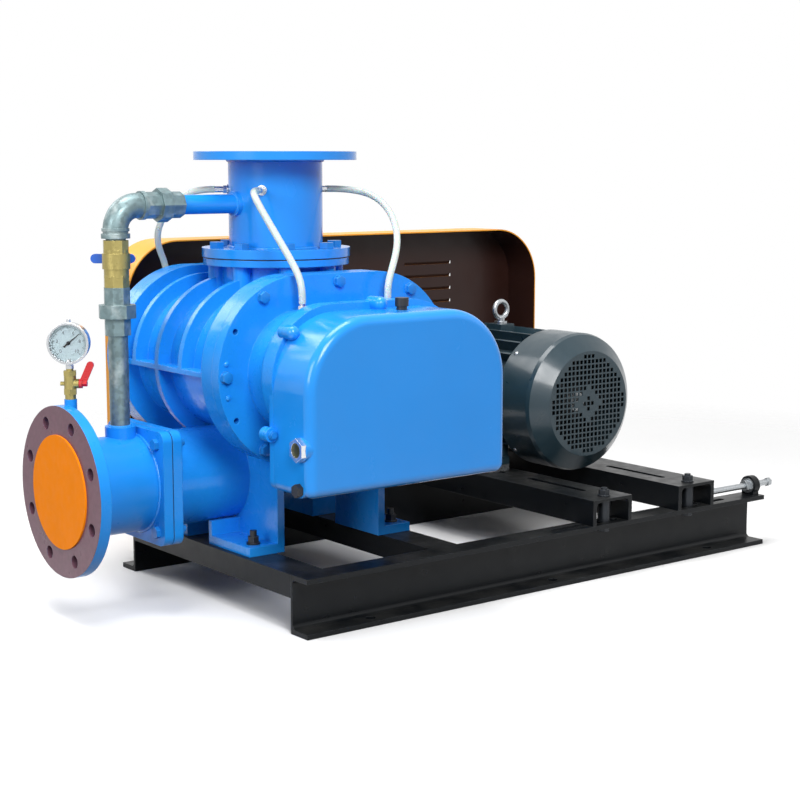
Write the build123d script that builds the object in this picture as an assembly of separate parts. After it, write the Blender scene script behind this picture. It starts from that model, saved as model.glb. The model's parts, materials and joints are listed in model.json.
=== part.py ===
from build123d import *
import math
import os

os.makedirs("parts", exist_ok=True)

# Roots vacuum pump package. Millimetres, +Z up. The origin is on the floor, at the centre of the
# anchor holes. +X runs from the pump to the motor, +Y from the gear cover to the belt guard.

# Base frame: two channels with their flanges outward, and cross members laid flat between them
base_length = 1116
base_width = 620
channel_depth = 100
channel_flange = 48
channel_web = 5.3
channel_thick = 8.5
channel_root = 8
cross_width = 63
cross_height = 40
cross_web = 4.8
cross_thick = 7.5
cross_root = 3
cross_right_x = -237
anchor_pitch = 415
anchor_inset = 22
anchor_hole = 18

# Motor rails and their clamps
rail_x = (130, 357)
rail_bolt_inset = 24
rail_bolt = 12
rail_slot_width = 13
rail_slots = ((-230, -70), (0, 82), (140, 222))
clamp_slots = ((-2, 164), (323, 462))
clamp_slot_width = 14
motor_packing = 13
spacer_radius = 12
clamp_washer_radius = 10
clamp_washer_thick = 2.5
stud_reach = 16

# Tensioning screws
tension_rod = 12
tension_height = 19
tension_reach = 42
lug_inset = 15
lug_radius = 19
lug_thick = 15

# Pump body
pump_x = -377
shaft_height = 415
rotor_spacing = 160
lobes = 3
casing_front = -126
casing_length = 340
rotor_gap = 0.5
lobe_clearance = 0.25
tip_clearance = 0.4
casing_wall = 18
casing_flange_radius = 162
casing_flange_thick = 33
rib_height = 25
rib_thick = 12
rib_centres = (-2, 78, 158)
plate_thick = 22
neck_radius = 105
rim_radius = 120
rim_thick = 31
rim_front = -243
plate_bolt_radius = 148
leg_offset = 101
leg_thick = 14
pad_reach = 172
pad_thick = 16
pad_length = 133
pad_edge = 57
foot_bolt_offset = 148
foot_bolt_inset = 26
foot_bolt = 12
foot_washer = 3
foot_stud_top = 24
plate_screw_across = 18
jack_hole_radius = 5
seal_bore_radius = 31.5

# Gear cover
cover_x = -370
cover_half_width = 205
cover_rise = 108
cover_drop = 178
cover_front = -344
cover_wall = 7
cover_arch_radius = 120
cover_corner_radius = 16
cover_edge_radius = 16
cover_screw_offset = 8.5
cover_screw_rise = 94
cover_ear_radius = 12
cover_ear_depth = 8
cover_horn_depth = 26
sight_rise = 79
sight_depth = 21
sight_boss = 3
sight_boss_radius = 19.5
sight_across = 34
sight_bore = 12
drain_depth = 27
drain_rise = 13
drain_boss_radius = 13
plug_radius = 9
breather_x = -350
breather_y = -290

# Ports and pipework
port_bore = 156
pipe_radius = 84
port_flange_radius = 145
port_pcd = 240
port_hole = 22
port_holes = 8
inlet_height = 187
inlet_flange_thick = 15
inlet_lower_radius = 132.5
inlet_lower_thick = 16
inlet_lower_pcd = 214
port_boss_height = 181
gasket_thick = 2
discharge_height = 219
discharge_face = -813
discharge_flange_thick = 20
square_flange = 196
square_flange_thick = 17
square_joint_x = -652
square_bolt_pitch = 150
elbow_radius = 105
cap_radius = 96.5
cap_thick = 3
cap_spigot = 14

# Rotors, gears, bearings and seals
shaft_radius = 22.5
shoulder_rise = 4
shoulder_length = 12
shaft_overhang = 10
gear_module = 5
gear_teeth = 32
gear_width = 36
gear_front = -316
gear_backlash = 0.5
bearing_outer = 50
bearing_width = 25
bearing_inner_wall = 7
bearing_outer_wall = 8
ball_radius = 7
ball_count = 9
seal_width = 10
seat_shoulder = 14
running_gap = 0.05
body_gap = 0.35
drive_neck_end = 262
drive_cover_end = 290

# Belt drive
pulley_front = 300
belt_pitch = 19
belt_count = 3
first_groove = 12.5
groove_width = 17.7
groove_angle = 18
belt_height = 11
belt_rise = 5
rim_rise = 5.6
pump_pulley_radius = 112
motor_pulley_radius = 90
groove_depth = 14
guard_back = 382
guard_front = 292
guard_left = -546
guard_right = 478
guard_rise = 203
guard_bottom = 170
guard_sheet = 2.5
guard_corner_radius = 110
louvre_rows = 4
louvre_pitch = 28
louvre_left = 176
louvre_right = 306
louvre_top = 545
louvre_slot = 6
bracket_places = (-470, -70, 243)
bracket_half = 20
bracket_thick = 4
bracket_inset = 8

# Motor
motor_height = 132
motor_foot_x = 216
motor_foot_y = 140
motor_shoulder = 270
motor_first_foot = 89
motor_shaft_radius = 19
motor_shaft_length = 80
motor_body_radius = 112
motor_fin_radius = 136
motor_fin_thick = 3.5
motor_fins_side = 9
motor_body_front = -8
motor_body_back = 246
motor_body_wall = 9
motor_foot_thick = 16
eye_bolt_y = 140
stator_start = 50
stator_length = 140
winding_length = 28
shield_bore = 31
terminal_pad_y = (72, 148)
terminal_pad_low = 28
terminal_pad_high = 32
terminal_reach = 200
terminal_lid_thick = 12
terminal_depth = 60
fan_cover_front = -125
fan_cover_back = -6
fan_cover_radius = 137
fan_grille_radius = 104
fan_cover_sheet = 2
grille_pitch = 10.4
grille_hole = 7.4
grille_margin = 9
grille_ring = (13, 33)

# Bypass line and gauge
bypass_drop = 91
bypass_x = -698
pipe_1in = 16.85
pipe_1in_bore = 13.5
valve_drop = 57
valve_length = 79
valve_axis_drop = 33
union_length = 81
gauge_setback = 24
gauge_height = 468
gauge_radius = 35
gauge_depth = 26
gauge_turn = -37.7

nipple_length = 112
fitting_elbow_reach = 54
upper_nut = 27
lower_nut = 30
valve_turn = 52
collar_height = 17
collar_radius = 26
gauge_boss_top = 374
gauge_stem_bottom = 425
cock_axis = 400
needle_rest = 40
lever_lean = 24
lever_length = 40
lever_width = 12
lever_thick = 4
valve_waist = 23.5
handle_shift = 12

# Hoses
hose_radius = 6
hose_bore = 4
barb_drop = 67
barb_reach = 25
first_run = 24
last_run = 22
lower_barb = 11
lower_pad = 1
hose_turns = (220.5, 0, 139.5)
hose_end_x = (-475, -297, -484)
hose_end_y = (-182, -182, 249)

# Worked-out values
channel_back = base_width / 2 - channel_flange
anchor_y = base_width / 2 - anchor_inset
rail_bolt_y = base_width / 2 - rail_bolt_inset
rail_top = channel_depth + channel_flange
tension_z = channel_depth + tension_height
lug_x = base_length / 2 - lug_inset
tension_end = base_length / 2 + tension_reach
gauge_x = discharge_face + gauge_setback
motor_x = (rail_x[0] + rail_x[1]) / 2
motor_foot_base = rail_top + motor_packing
motor_z = motor_foot_base + motor_height
eye_pad_top = motor_z + motor_fin_radius + 2
terminal_face = motor_x - motor_fin_radius - 2
terminal_pad_z = (motor_z - terminal_pad_low, motor_z + terminal_pad_high)
terminal_lid_x = motor_x - terminal_reach
foot_y = (motor_shoulder - motor_first_foot, motor_shoulder - motor_first_foot - motor_foot_y)
casing_back = casing_front + casing_length
pump_y = casing_front + casing_length / 2
left_axis = pump_x - rotor_spacing / 2
right_axis = pump_x + rotor_spacing / 2
axes = (left_axis, right_axis)
pitch_radius = rotor_spacing / 2
roll_radius = pitch_radius / (2 * lobes)
tip_radius = pitch_radius + 2 * roll_radius - lobe_clearance
bore_radius = tip_radius + tip_clearance
skin_radius = bore_radius + casing_wall
front_plate_face = casing_front - plate_thick
back_plate_face = casing_back + plate_thick
neck_front = rim_front + rim_thick
hose_pad_top = shaft_height + neck_radius + lower_pad
cover_top = shaft_height + cover_rise
cover_bottom = shaft_height - cover_drop
guard_top = shaft_height + guard_rise
port_boss_top = shaft_height + port_boss_height
inlet_top = port_boss_top + inlet_height
barb_height = inlet_top - barb_drop
bypass_height = inlet_top - bypass_drop
valve_top = bypass_height - valve_drop
valve_axis = valve_top - valve_axis_drop
valve_bottom = valve_top - valve_length
riser_top = valve_bottom - union_length
UP = (0, 0, 1)


# ---------------------------------------------------------------- helpers

def along(point, direction):
    """A plane at a point with its normal in a direction."""
    return Plane(origin=point, z_dir=direction)


def rod(point, direction, radius, length):
    """A cylinder that starts at a point and runs in a direction."""
    bottom = (Align.CENTER, Align.CENTER, Align.MIN)
    return along(point, direction) * Cylinder(radius, length, align=bottom)


def tube(point, direction, outer, inner, length):
    """A pipe that starts at a point and runs in a direction."""
    return rod(point, direction, outer, length) - rod(point, direction, inner, length)


def hexagon(point, direction, across, length):
    """A hexagonal prism by its size across flats."""
    shape = extrude(RegularPolygon(across / 2, 6, major_radius=False), length)
    return along(point, direction) * shape


def bar_x(profile, start, end):
    """Extrude a (y, z) profile along X."""
    plane = Plane(origin=(start, 0, 0), x_dir=(0, 1, 0), z_dir=(1, 0, 0))
    return plane * extrude(profile, end - start)


def bar_y(profile, start, end):
    """Extrude an (x, z) profile along Y."""
    plane = Plane(origin=(0, end, 0), x_dir=(1, 0, 0), z_dir=(0, -1, 0))
    return plane * extrude(profile, end - start)


def bar_z(profile, start, end):
    """Extrude an (x, y) profile along Z."""
    return Pos(0, 0, start) * extrude(profile, end - start)


def block(x_span, y_span, z_span):
    """A box by its limits."""
    size = (x_span[1] - x_span[0], y_span[1] - y_span[0], z_span[1] - z_span[0])
    corner = Pos(x_span[0], y_span[0], z_span[0])
    return corner * Box(*size, align=(Align.MIN, Align.MIN, Align.MIN))


def stadium(radius):
    """The outline round both rotor axes, in (x, z)."""
    return Pos(pump_x, shaft_height) * SlotCenterToCenter(rotor_spacing, 2 * radius)


def bolt(point, direction, diameter, grip, head_height=None, nut=True):
    """A hex bolt whose head sits at a point; its shank runs against the direction."""
    head = hexagon(point, direction, diameter * 1.5, head_height or diameter * 0.65)
    back = tuple(-value for value in direction)
    reach = grip + diameter * 1.3 if nut else grip
    shank = rod(point, back, diameter / 2, reach)
    if not nut:
        return head + shank
    far = tuple(point[i] + back[i] * grip for i in range(3))
    return head + shank + hexagon(far, back, diameter * 1.5, diameter * 0.8)


def circle_points(radius, count, start=0):
    """Points round a circle, from a start angle in degrees."""
    turns = [math.radians(start + 360 * i / count) for i in range(count)]
    return [(radius * math.cos(turn), radius * math.sin(turn)) for turn in turns]


def channel_section(depth, flange, web, thick, root):
    """A channel on its side: web along Y with its back at x = 0, flanges towards +x."""
    half = depth / 2
    outer = Pos(flange / 2, 0) * Rectangle(flange, depth)
    inner_width = flange - web
    inner = Pos(web + inner_width / 2, 0) * Rectangle(inner_width, depth - 2 * thick)
    section = outer - inner
    corners = [v for v in section.vertices() if abs(v.X - web) < 0.01 and abs(v.Y) < half - 1]
    return fillet(corners, root)


# ---------------------------------------------------------------- base frame

def base_channel():
    """The rear channel: open towards +Y, with anchor holes, clamp slots and the screw's lug."""
    section = channel_section(channel_depth, channel_flange, channel_web, channel_thick, channel_root)
    profile = Pos(channel_back, channel_depth / 2) * section
    beam = bar_x(profile, -base_length / 2, base_length / 2)
    for x in (-anchor_pitch, 0, anchor_pitch):
        beam -= rod((x, anchor_y, 0), UP, anchor_hole / 2, channel_thick)
    for start, end in clamp_slots:
        slot = Pos((start + end) / 2, rail_bolt_y) * SlotOverall(end - start, clamp_slot_width)
        beam -= bar_z(slot, channel_depth - channel_thick, channel_depth)
    lug_profile = Pos(rail_bolt_y, tension_z) * Circle(lug_radius)
    lug_foot = Pos(rail_bolt_y, channel_depth + tension_height / 2)
    lug_profile += lug_foot * Rectangle(lug_radius * 1.6, tension_height)
    lug_profile -= Pos(rail_bolt_y, tension_z) * Circle(tension_rod / 2 + 1)
    lug = bar_x(lug_profile, lug_x - lug_thick / 2, lug_x + lug_thick / 2)
    return beam + lug


def cross_members():
    """Two channels laid flat, web up, flush with the top of the frame."""
    section = channel_section(cross_width, cross_height, cross_web, cross_thick, cross_root)
    flat = Rot(0, 0, -90) * section
    end_x = -base_length / 2 + cross_width / 2
    members = []
    for x, foot_x in ((end_x, foot_bolt_x(-1)), (cross_right_x, foot_bolt_x(1))):
        profile = Pos(x, channel_depth) * flat
        member = bar_y(profile, -channel_back, channel_back)
        for y in foot_bolt_rows():
            hole = (foot_x, y, channel_depth - cross_web)
            member -= rod(hole, UP, foot_bolt / 2 + 1, cross_web)
        members.append(member)
    return members


def foot_bolt_x(side):
    """The X place of the foot bolts on one side of the pump."""
    return pump_x + side * foot_bolt_offset


def foot_bolt_rows():
    """The Y places of the four foot bolts."""
    return (casing_front + foot_bolt_inset, casing_back - foot_bolt_inset)


# ---------------------------------------------------------------- motor rails

def motor_rail(x, foot_x):
    """A channel laid web up across both beams, slotted for the motor feet."""
    section = channel_section(channel_depth, channel_flange, channel_web, channel_thick, channel_root)
    profile = Pos(x, rail_top) * Rot(0, 0, -90) * section
    rail = bar_y(profile, -base_width / 2, base_width / 2)
    for start, end in rail_slots:
        slot = Rot(0, 0, 90) * SlotOverall(end - start, rail_slot_width)
        slot = Pos(foot_x, (start + end) / 2) * slot
        rail -= bar_z(slot, rail_top - channel_web, rail_top)
    for y in (-rail_bolt_y, rail_bolt_y):
        rail -= rod((x, y, rail_top - channel_web), UP, rail_bolt / 2 + 1, channel_web)
    return rail


def rail_clamp(x, y):
    """A clamping bolt with its spacer tube and both nuts."""
    radius = rail_bolt / 2
    spacer_height = channel_flange - channel_web
    spacer = tube((x, y, channel_depth), UP, spacer_radius, radius + 0.5, spacer_height)
    low = channel_depth - channel_thick - clamp_washer_thick
    stud = rod((x, y, low), UP, clamp_washer_radius, clamp_washer_thick)
    stud += rod((x, y, rail_top), UP, spacer_radius, clamp_washer_thick)
    stud += hexagon((x, y, rail_top + clamp_washer_thick), UP, rail_bolt * 1.5, 10)
    stud += hexagon((x, y, low), (0, 0, -1), rail_bolt * 1.5, 7.5)
    stud += rod((x, y, low), UP, radius, rail_top + stud_reach - low)
    return [spacer, stud]


def rail_clamps():
    """All four rail clamps."""
    pieces = []
    for x in rail_x:
        for y in (-rail_bolt_y, rail_bolt_y):
            pieces += rail_clamp(x, y)
    return pieces


def tension_rods():
    """A draw rod on each side, fixed to the right rail's outer flange."""
    start = rail_x[1] + channel_depth / 2
    rods = []
    for y in (-rail_bolt_y, rail_bolt_y):
        stem = rod((start, y, tension_z), (1, 0, 0), tension_rod / 2, tension_end - start)
        nut = hexagon((start, y, tension_z), (1, 0, 0), 18, 8)
        head = hexagon((tension_end - 9, y, tension_z), (1, 0, 0), 15, 9)
        rods.append(stem + nut + head)
    return rods


def tension_nuts():
    """Nuts and washers on both sides of each lug, clear of the rod."""
    hole = tension_rod / 2 + body_gap
    pieces = []
    for y in (-rail_bolt_y, rail_bolt_y):
        for side in (-1, 1):
            face = lug_x + side * lug_thick / 2
            direction = (side, 0, 0)
            washer = rod((face, y, tension_z), direction, 15, 3)
            nut = hexagon((face + side * 3, y, tension_z), direction, 20, 9)
            piece = washer + nut
            piece -= rod((face, y, tension_z), direction, hole, 12)
            pieces.append(piece)
    return pieces


# ---------------------------------------------------------------- pump casing

def blower_casing():
    """The ribbed casting: rotor bores, ports, discharge elbow and four feet."""
    body = bar_y(stadium(skin_radius), casing_front, casing_back)
    flange = stadium(casing_flange_radius)
    body += bar_y(flange, casing_front, casing_front + casing_flange_thick)
    body += bar_y(flange, casing_back - casing_flange_thick + 8, casing_back)
    body += casing_ribs()
    body += port_boss()
    body += discharge_elbow()
    body += casing_feet()
    body -= bar_y(stadium(bore_radius), casing_front, casing_back)
    port_depth = port_boss_top - shaft_height
    body -= rod((pump_x, pump_y, shaft_height), UP, port_bore / 2, port_depth)
    body -= elbow_bore()
    for x, z in port_stud_points():
        body -= rod((pump_x + x, pump_y + z, port_boss_top - 24), UP, 8, 24)
    return body


def casing_ribs():
    """Circumferential ribs over the top half, a ledge where they end and one rib below."""
    outline = stadium(skin_radius + rib_height)
    reach = rotor_spacing / 2 + skin_radius + rib_height
    upper = Pos(pump_x, shaft_height + reach / 2) * Rectangle(2 * reach, reach)
    lower = Pos(pump_x, shaft_height - reach / 2) * Rectangle(2 * reach, reach)
    ribs = bar_y(outline & upper, rib_centres[0] - rib_thick / 2, rib_centres[0] + rib_thick / 2)
    for y in rib_centres[1:]:
        ribs += bar_y(outline & upper, y - rib_thick / 2, y + rib_thick / 2)
    ribs += bar_y(outline & lower, rib_centres[1] - rib_thick / 2, rib_centres[1] + rib_thick / 2)
    ledge = Pos(pump_x, shaft_height - 4) * Rectangle(2 * reach, 9)
    ribs += bar_y(ledge, casing_front + casing_flange_thick, casing_back - casing_flange_thick)
    return ribs


def port_stud_points():
    """Centres of the inlet port's bolts, from the port's axis."""
    return circle_points(inlet_lower_pcd / 2, port_holes, 22.5)


def port_boss():
    """The raised inlet port with a round boss at each bolt."""
    ring = rod((pump_x, pump_y, shaft_height), UP, 100, port_boss_top - shaft_height)
    flange_depth = 12
    flange_base = port_boss_top - flange_depth
    ring += rod((pump_x, pump_y, flange_base), UP, inlet_lower_radius - 2, flange_depth)
    for x, y in port_stud_points():
        start = shaft_height + 90
        ring += rod((pump_x + x, pump_y + y, start), UP, 16, port_boss_top - start)
    return ring


def elbow_path():
    """The discharge centre line: down out of the casing, round, and out towards -X."""
    top = (pump_x, pump_y, shaft_height - 40)
    corner = (pump_x, pump_y, discharge_height)
    end = (square_joint_x + square_flange_thick / 2, pump_y, discharge_height)
    return FilletPolyline(top, corner, end, radius=elbow_radius)


def discharge_elbow():
    """The cast elbow and its square flange."""
    path = elbow_path()
    pipe = sweep(Plane(origin=path @ 0, z_dir=path % 0) * Circle(pipe_radius), path=path)
    square = RectangleRounded(square_flange, square_flange, 18)
    square = Pos(pump_y, discharge_height) * square
    flange = bar_x(square, square_joint_x, square_joint_x + square_flange_thick)
    return pipe + flange


def elbow_bore():
    """The passage through the elbow, and the flange's bolt holes."""
    path = elbow_path()
    bore = sweep(Plane(origin=path @ 0, z_dir=path % 0) * Circle(port_bore / 2), path=path)
    end = square_joint_x
    bore += rod((end, pump_y, discharge_height), (1, 0, 0), port_bore / 2, square_flange_thick)
    for y, z in square_bolt_points():
        bore += rod((end, y, z), (1, 0, 0), 7, square_flange_thick)
    return bore


def square_bolt_points():
    """Centres of the square flange's four bolts."""
    half = square_bolt_pitch / 2
    return [(pump_y + a, discharge_height + b) for a in (-half, half) for b in (-half, half)]


def casing_feet():
    """Walls down both sides with a pad at each corner."""
    feet = None
    for side in (-1, 1):
        near = pump_x + side * leg_offset
        far = pump_x + side * (leg_offset + leg_thick)
        reach = pump_x + side * pad_reach
        for start in (casing_front + pad_edge, casing_back - pad_edge):
            inward = 1 if start < pump_y else -1
            end = start + inward * (pad_length - pad_edge)
            edge = start - inward * pad_edge
            x_wall = sorted((near, far))
            x_pad = sorted((near, reach))
            y_all = sorted((edge, end))
            wall = block(x_wall, y_all, (channel_depth, shaft_height - skin_radius * 0.8))
            pad = block(x_pad, y_all, (channel_depth, channel_depth + pad_thick))
            y_back = sorted((end, end - inward * leg_thick * 0.7))
            back = block(x_pad, y_back, (channel_depth, channel_depth + 42))
            piece = wall + pad + back
            feet = piece if feet is None else feet + piece
    for side in (-1, 1):
        for y in foot_bolt_rows():
            hole = (foot_bolt_x(side), y, channel_depth)
            feet -= rod(hole, UP, foot_bolt / 2 + 1, pad_thick)
    return feet


# ---------------------------------------------------------------- side plates and covers

def plate_bolt_points():
    """Bolt centres round both ends of the side plates, in (x, z)."""
    points = []
    for turn in (60, 120, 180, 240, 300):
        angle = math.radians(turn)
        if math.cos(angle) < 0.1:
            x = left_axis + plate_bolt_radius * math.cos(angle)
            points.append((x, shaft_height + plate_bolt_radius * math.sin(angle)))
    points += [(2 * pump_x - x, z) for x, z in points]
    points.append((pump_x, shaft_height + plate_bolt_radius))
    points.append((pump_x, shaft_height - plate_bolt_radius))
    return points


def jack_hole_points():
    """Tapped holes used to press the side plates off, in (x, z)."""
    points = []
    for turn in (150, 210):
        angle = math.radians(turn)
        x = left_axis + plate_bolt_radius * math.cos(angle)
        z = shaft_height + plate_bolt_radius * math.sin(angle)
        points += [(x, z), (2 * pump_x - x, z)]
    return points


def gear_end_plate():
    """The front side plate with its bearing neck and the gear cover's rim."""
    plate = bar_y(stadium(casing_flange_radius), front_plate_face, casing_front)
    plate += bar_y(stadium(neck_radius), neck_front, front_plate_face)
    plate += bar_y(stadium(rim_radius), rim_front, neck_front)
    sump = Pos(cover_x, (cover_bottom + shaft_height) / 2)
    sump *= RectangleRounded(2 * cover_half_width, shaft_height - cover_bottom, cover_corner_radius)
    plate += bar_y(sump, rim_front, rim_front + 12)
    for x, z in cover_screw_points() + cover_horn_points():
        plate += rod((x, rim_front, z), (0, 1, 0), cover_ear_radius, 12)
    seat_end = front_plate_face - seat_shoulder
    for x in axes:
        plate -= rod((x, rim_front, shaft_height), (0, 1, 0), bearing_outer, seat_end - rim_front)
        plate -= rod((x, seat_end, shaft_height), (0, 1, 0), seal_bore_radius, casing_front - seat_end)
    for x, z in jack_hole_points():
        plate -= rod((x, front_plate_face, z), (0, 1, 0), jack_hole_radius, plate_thick)
    for place in hose_lower_points()[:2]:
        plate += hose_pad(place)
    return plate


def hose_pad(place):
    """A flat round pad for a hose fitting on top of a bearing neck."""
    return rod((place[0], place[1], hose_pad_top - 12), UP, 9, 12)


def drive_end_plate():
    """The rear side plate with its bearing neck."""
    plate = bar_y(stadium(casing_flange_radius), casing_back, back_plate_face)
    plate += bar_y(stadium(neck_radius), back_plate_face, drive_neck_end)
    for x in axes:
        seal_end = casing_back + seat_shoulder
        plate -= rod((x, casing_back, shaft_height), (0, 1, 0), seal_bore_radius, seat_shoulder)
        plate -= rod((x, seal_end, shaft_height), (0, 1, 0), bearing_outer, drive_neck_end - seal_end)
    for x, z in jack_hole_points():
        plate -= rod((x, casing_back, z), (0, 1, 0), jack_hole_radius, plate_thick)
    return plate + hose_pad(hose_lower_points()[2])


def drive_end_cover():
    """The rounded cover over the drive-end bearings, with the drive shaft's opening."""
    shell = bar_y(stadium(neck_radius + 7), drive_neck_end, drive_cover_end)
    rear_edges = shell.edges().filter_by_position(Axis.Y, drive_cover_end - 0.1, drive_cover_end + 0.1)
    shell = fillet(rear_edges, 12)
    shell -= bar_y(stadium(bearing_outer - 4), drive_neck_end, drive_cover_end - 10)
    shell -= rod((right_axis, drive_neck_end, shaft_height), (0, 1, 0), shaft_radius + 8, 30)
    return shell


def gear_cover():
    """The arch-topped cover over the timing gears: an open-backed box with rounded edges."""
    shell = bar_y(cover_outline(0), cover_front, rim_front)
    front = shell.edges().filter_by_position(Axis.Y, cover_front - 0.1, cover_front + 0.1)
    shell = fillet(front, cover_edge_radius)
    for x, z in cover_screw_points():
        shell += rod((x, rim_front, z), (0, -1, 0), cover_ear_radius, cover_ear_depth)
    straight = cover_horn_depth - cover_ear_radius
    for x, z in cover_horn_points():
        shell += rod((x, rim_front, z), (0, -1, 0), cover_ear_radius, straight)
        shell += Pos(x, rim_front - straight, z) * Sphere(cover_ear_radius)
    shell -= bar_y(cover_outline(cover_wall), cover_front + cover_wall, rim_front)
    shell += rod(sight_place(), (1, 0, 0), sight_boss_radius, 20)
    shell += rod(drain_place(), (1, 0, 0), drain_boss_radius, 20)
    shell -= rod(sight_place(), (1, 0, 0), sight_bore + 2, 24)
    shell -= rod(drain_place(), (1, 0, 0), plug_radius, 20)
    shell -= rod((breather_x, breather_y, cover_top - 12), UP, plug_radius - 1, 14)
    return shell


def sight_place():
    """The face of the oil level glass's boss on the cover's left wall."""
    return (cover_x - cover_half_width - sight_boss, cover_front + sight_depth,
            cover_bottom + sight_rise)


def drain_place():
    """Where the oil drain plug enters the cover's left wall."""
    return (cover_x - cover_half_width, cover_front + drain_depth, cover_bottom + drain_rise)


def cover_outline(inset):
    """The gear cover's arched outline in (x, z), drawn in by a wall."""
    half = cover_half_width - inset
    top = cover_top - inset
    bottom = cover_bottom + inset
    arch = cover_arch_radius - inset
    corner = cover_corner_radius - inset / 2
    section = Pos(cover_x, (top + bottom) / 2) * Rectangle(2 * half, top - bottom)
    upper = [v for v in section.vertices() if v.Y > shaft_height]
    section = fillet(upper, arch)
    lower = [v for v in section.vertices() if v.Y < bottom + 1]
    return fillet(lower, corner)


def cover_screw_points():
    """Centres of the cover's two screw ears, just outside its sides, in (x, z)."""
    side = cover_half_width + cover_screw_offset
    return [(cover_x + way * side, cover_bottom + cover_screw_rise) for way in (-1, 1)]


def cover_horn_points():
    """Centres of the three rounded dowel bosses over the arch, in (x, z)."""
    reach = (cover_arch_radius + cover_screw_offset) * math.sqrt(0.5)
    shoulder_x = cover_half_width - cover_arch_radius + reach
    shoulder_z = cover_top - cover_arch_radius + reach
    points = [(cover_x, cover_top + cover_screw_offset)]
    points += [(cover_x + way * shoulder_x, shoulder_z) for way in (-1, 1)]
    return points


def cover_screws():
    """Domed screws that hold the gear cover to the rim."""
    pieces = []
    for x, z in cover_screw_points():
        face = rim_front - cover_ear_depth
        screw = rod((x, face, z), (0, -1, 0), 7.5, 5)
        screw += rod((x, face - 5, z), (0, -1, 0), 5.5, 2)
        pieces.append(screw)
    return pieces


def plate_screws():
    """Hex screws round both side plates."""
    pieces = []
    for x, z in plate_bolt_points():
        for face, way in ((front_plate_face, -1), (back_plate_face, 1)):
            pieces.append(hexagon((x, face, z), (0, way, 0), plate_screw_across, 9))
    return pieces


def sight_glass_ring():
    """The bright hexagonal ring that holds the oil level glass."""
    place = sight_place()
    ring = hexagon(place, (-1, 0, 0), sight_across, 9)
    ring += rod(place, (1, 0, 0), sight_bore + 1.9, 10)
    ring -= rod(place, (-1, 0, 0), sight_bore, 9)
    return ring - rod(place, (1, 0, 0), sight_bore - 2, 10)


def sight_glass_lens():
    """The oil level glass."""
    return rod(sight_place(), (-1, 0, 0), sight_bore - 0.1, 6)


def oil_plugs():
    """The drain plug low on the left and the breather on top of the gear cover."""
    drain = hexagon(drain_place(), (-1, 0, 0), 19, 10)
    drain += rod(drain_place(), (1, 0, 0), plug_radius, 8)
    top = (breather_x, breather_y, cover_top)
    breather = rod(top, UP, plug_radius, 6)
    breather += rod((breather_x, breather_y, cover_top + 6), UP, 11.5, 14)
    breather += rod(top, (0, 0, -1), plug_radius - 1, 6)
    return [drain, breather]


# ---------------------------------------------------------------- rotors, gears, bearings, seals

def lobe_profile():
    """The outline of a three-lobe rotor: alternate epicycloid and hypocycloid arcs."""
    samples = 8
    arc = math.pi / lobes
    points = []
    for index in range(2 * lobes):
        outside = index % 2 == 0
        start = arc * (index - 0.5)
        for step in range(samples):
            turn = start + arc * (step + 0.5) / samples
            contact = (pitch_radius * math.cos(turn), pitch_radius * math.sin(turn))
            rolled = (turn - start) * pitch_radius / roll_radius
            if outside:
                centre = pitch_radius + roll_radius
                spin = turn + rolled + math.pi
            else:
                centre = pitch_radius - roll_radius
                spin = turn - rolled
            x = centre * math.cos(turn) + roll_radius * math.cos(spin)
            y = centre * math.sin(turn) + roll_radius * math.sin(spin)
            away = (contact[0] - x, contact[1] - y)
            reach = math.hypot(*away)
            inward = lobe_clearance / reach if outside else -lobe_clearance / reach
            points.append((x + away[0] * inward, y + away[1] * inward))
    return make_face(Spline(*points, periodic=True))


def rotor(x, back_end):
    """A three-lobe rotor and its shaft."""
    lobe = Pos(x, shaft_height) * lobe_profile()
    body = bar_y(lobe, casing_front + rotor_gap, casing_back - rotor_gap)
    front_end = gear_front - shaft_overhang
    shaft = rod((x, front_end, shaft_height), (0, 1, 0), shaft_radius, back_end - front_end)
    for y in (casing_front - shoulder_length, casing_back):
        shaft += rod((x, y, shaft_height), (0, 1, 0), shaft_radius + shoulder_rise, shoulder_length)
    return body + shaft


def gear_tooth_angle(radius):
    """Half the angle of a tooth at a radius, for a 20 degree involute with backlash."""
    pitch = gear_module * gear_teeth / 2
    base = pitch * math.cos(math.radians(20))

    def involute(r):
        pressure = math.acos(min(1, base / r))
        return math.tan(pressure) - pressure

    half = math.pi / (2 * gear_teeth) - gear_backlash / (2 * pitch)
    return half + involute(pitch) - involute(max(radius, base))


def gear_profile():
    """A spur gear's outline."""
    pitch = gear_module * gear_teeth / 2
    root = pitch - 1.25 * gear_module
    tip = pitch + gear_module
    levels = [root, pitch - 0.55 * gear_module, pitch + 0.2 * gear_module, tip]
    points = []
    for tooth in range(gear_teeth):
        middle = 2 * math.pi * tooth / gear_teeth
        left = [(r, middle - gear_tooth_angle(r)) for r in levels]
        right = [(r, middle + gear_tooth_angle(r)) for r in reversed(levels)]
        points += [(r * math.cos(a), r * math.sin(a)) for r, a in left + right]
    return make_face(Polyline(*points, close=True))


def timing_gear(x, turn):
    """A timing gear with its web recess, keyed to the shaft by a hub."""
    profile = Pos(x, shaft_height) * Rot(0, 0, turn) * gear_profile()
    gear = bar_y(profile, gear_front, gear_front + gear_width)
    recess = Circle(60) - Circle(36)
    gear -= bar_y(Pos(x, shaft_height) * recess, gear_front, gear_front + 10)
    gear -= rod((x, gear_front, shaft_height), (0, 1, 0), shaft_radius, gear_width)
    return gear


def lock_nut(x):
    """The nut that holds a timing gear on its shaft."""
    nut = hexagon((x, gear_front, shaft_height), (0, -1, 0), 62, 9)
    return nut - rod((x, gear_front, shaft_height), (0, -1, 0), shaft_radius, 9)


def bearing_starts():
    """The Y where each row of bearings starts: gear end, then drive end."""
    return (front_plate_face - seat_shoulder - bearing_width, drive_neck_end - bearing_width)


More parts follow.
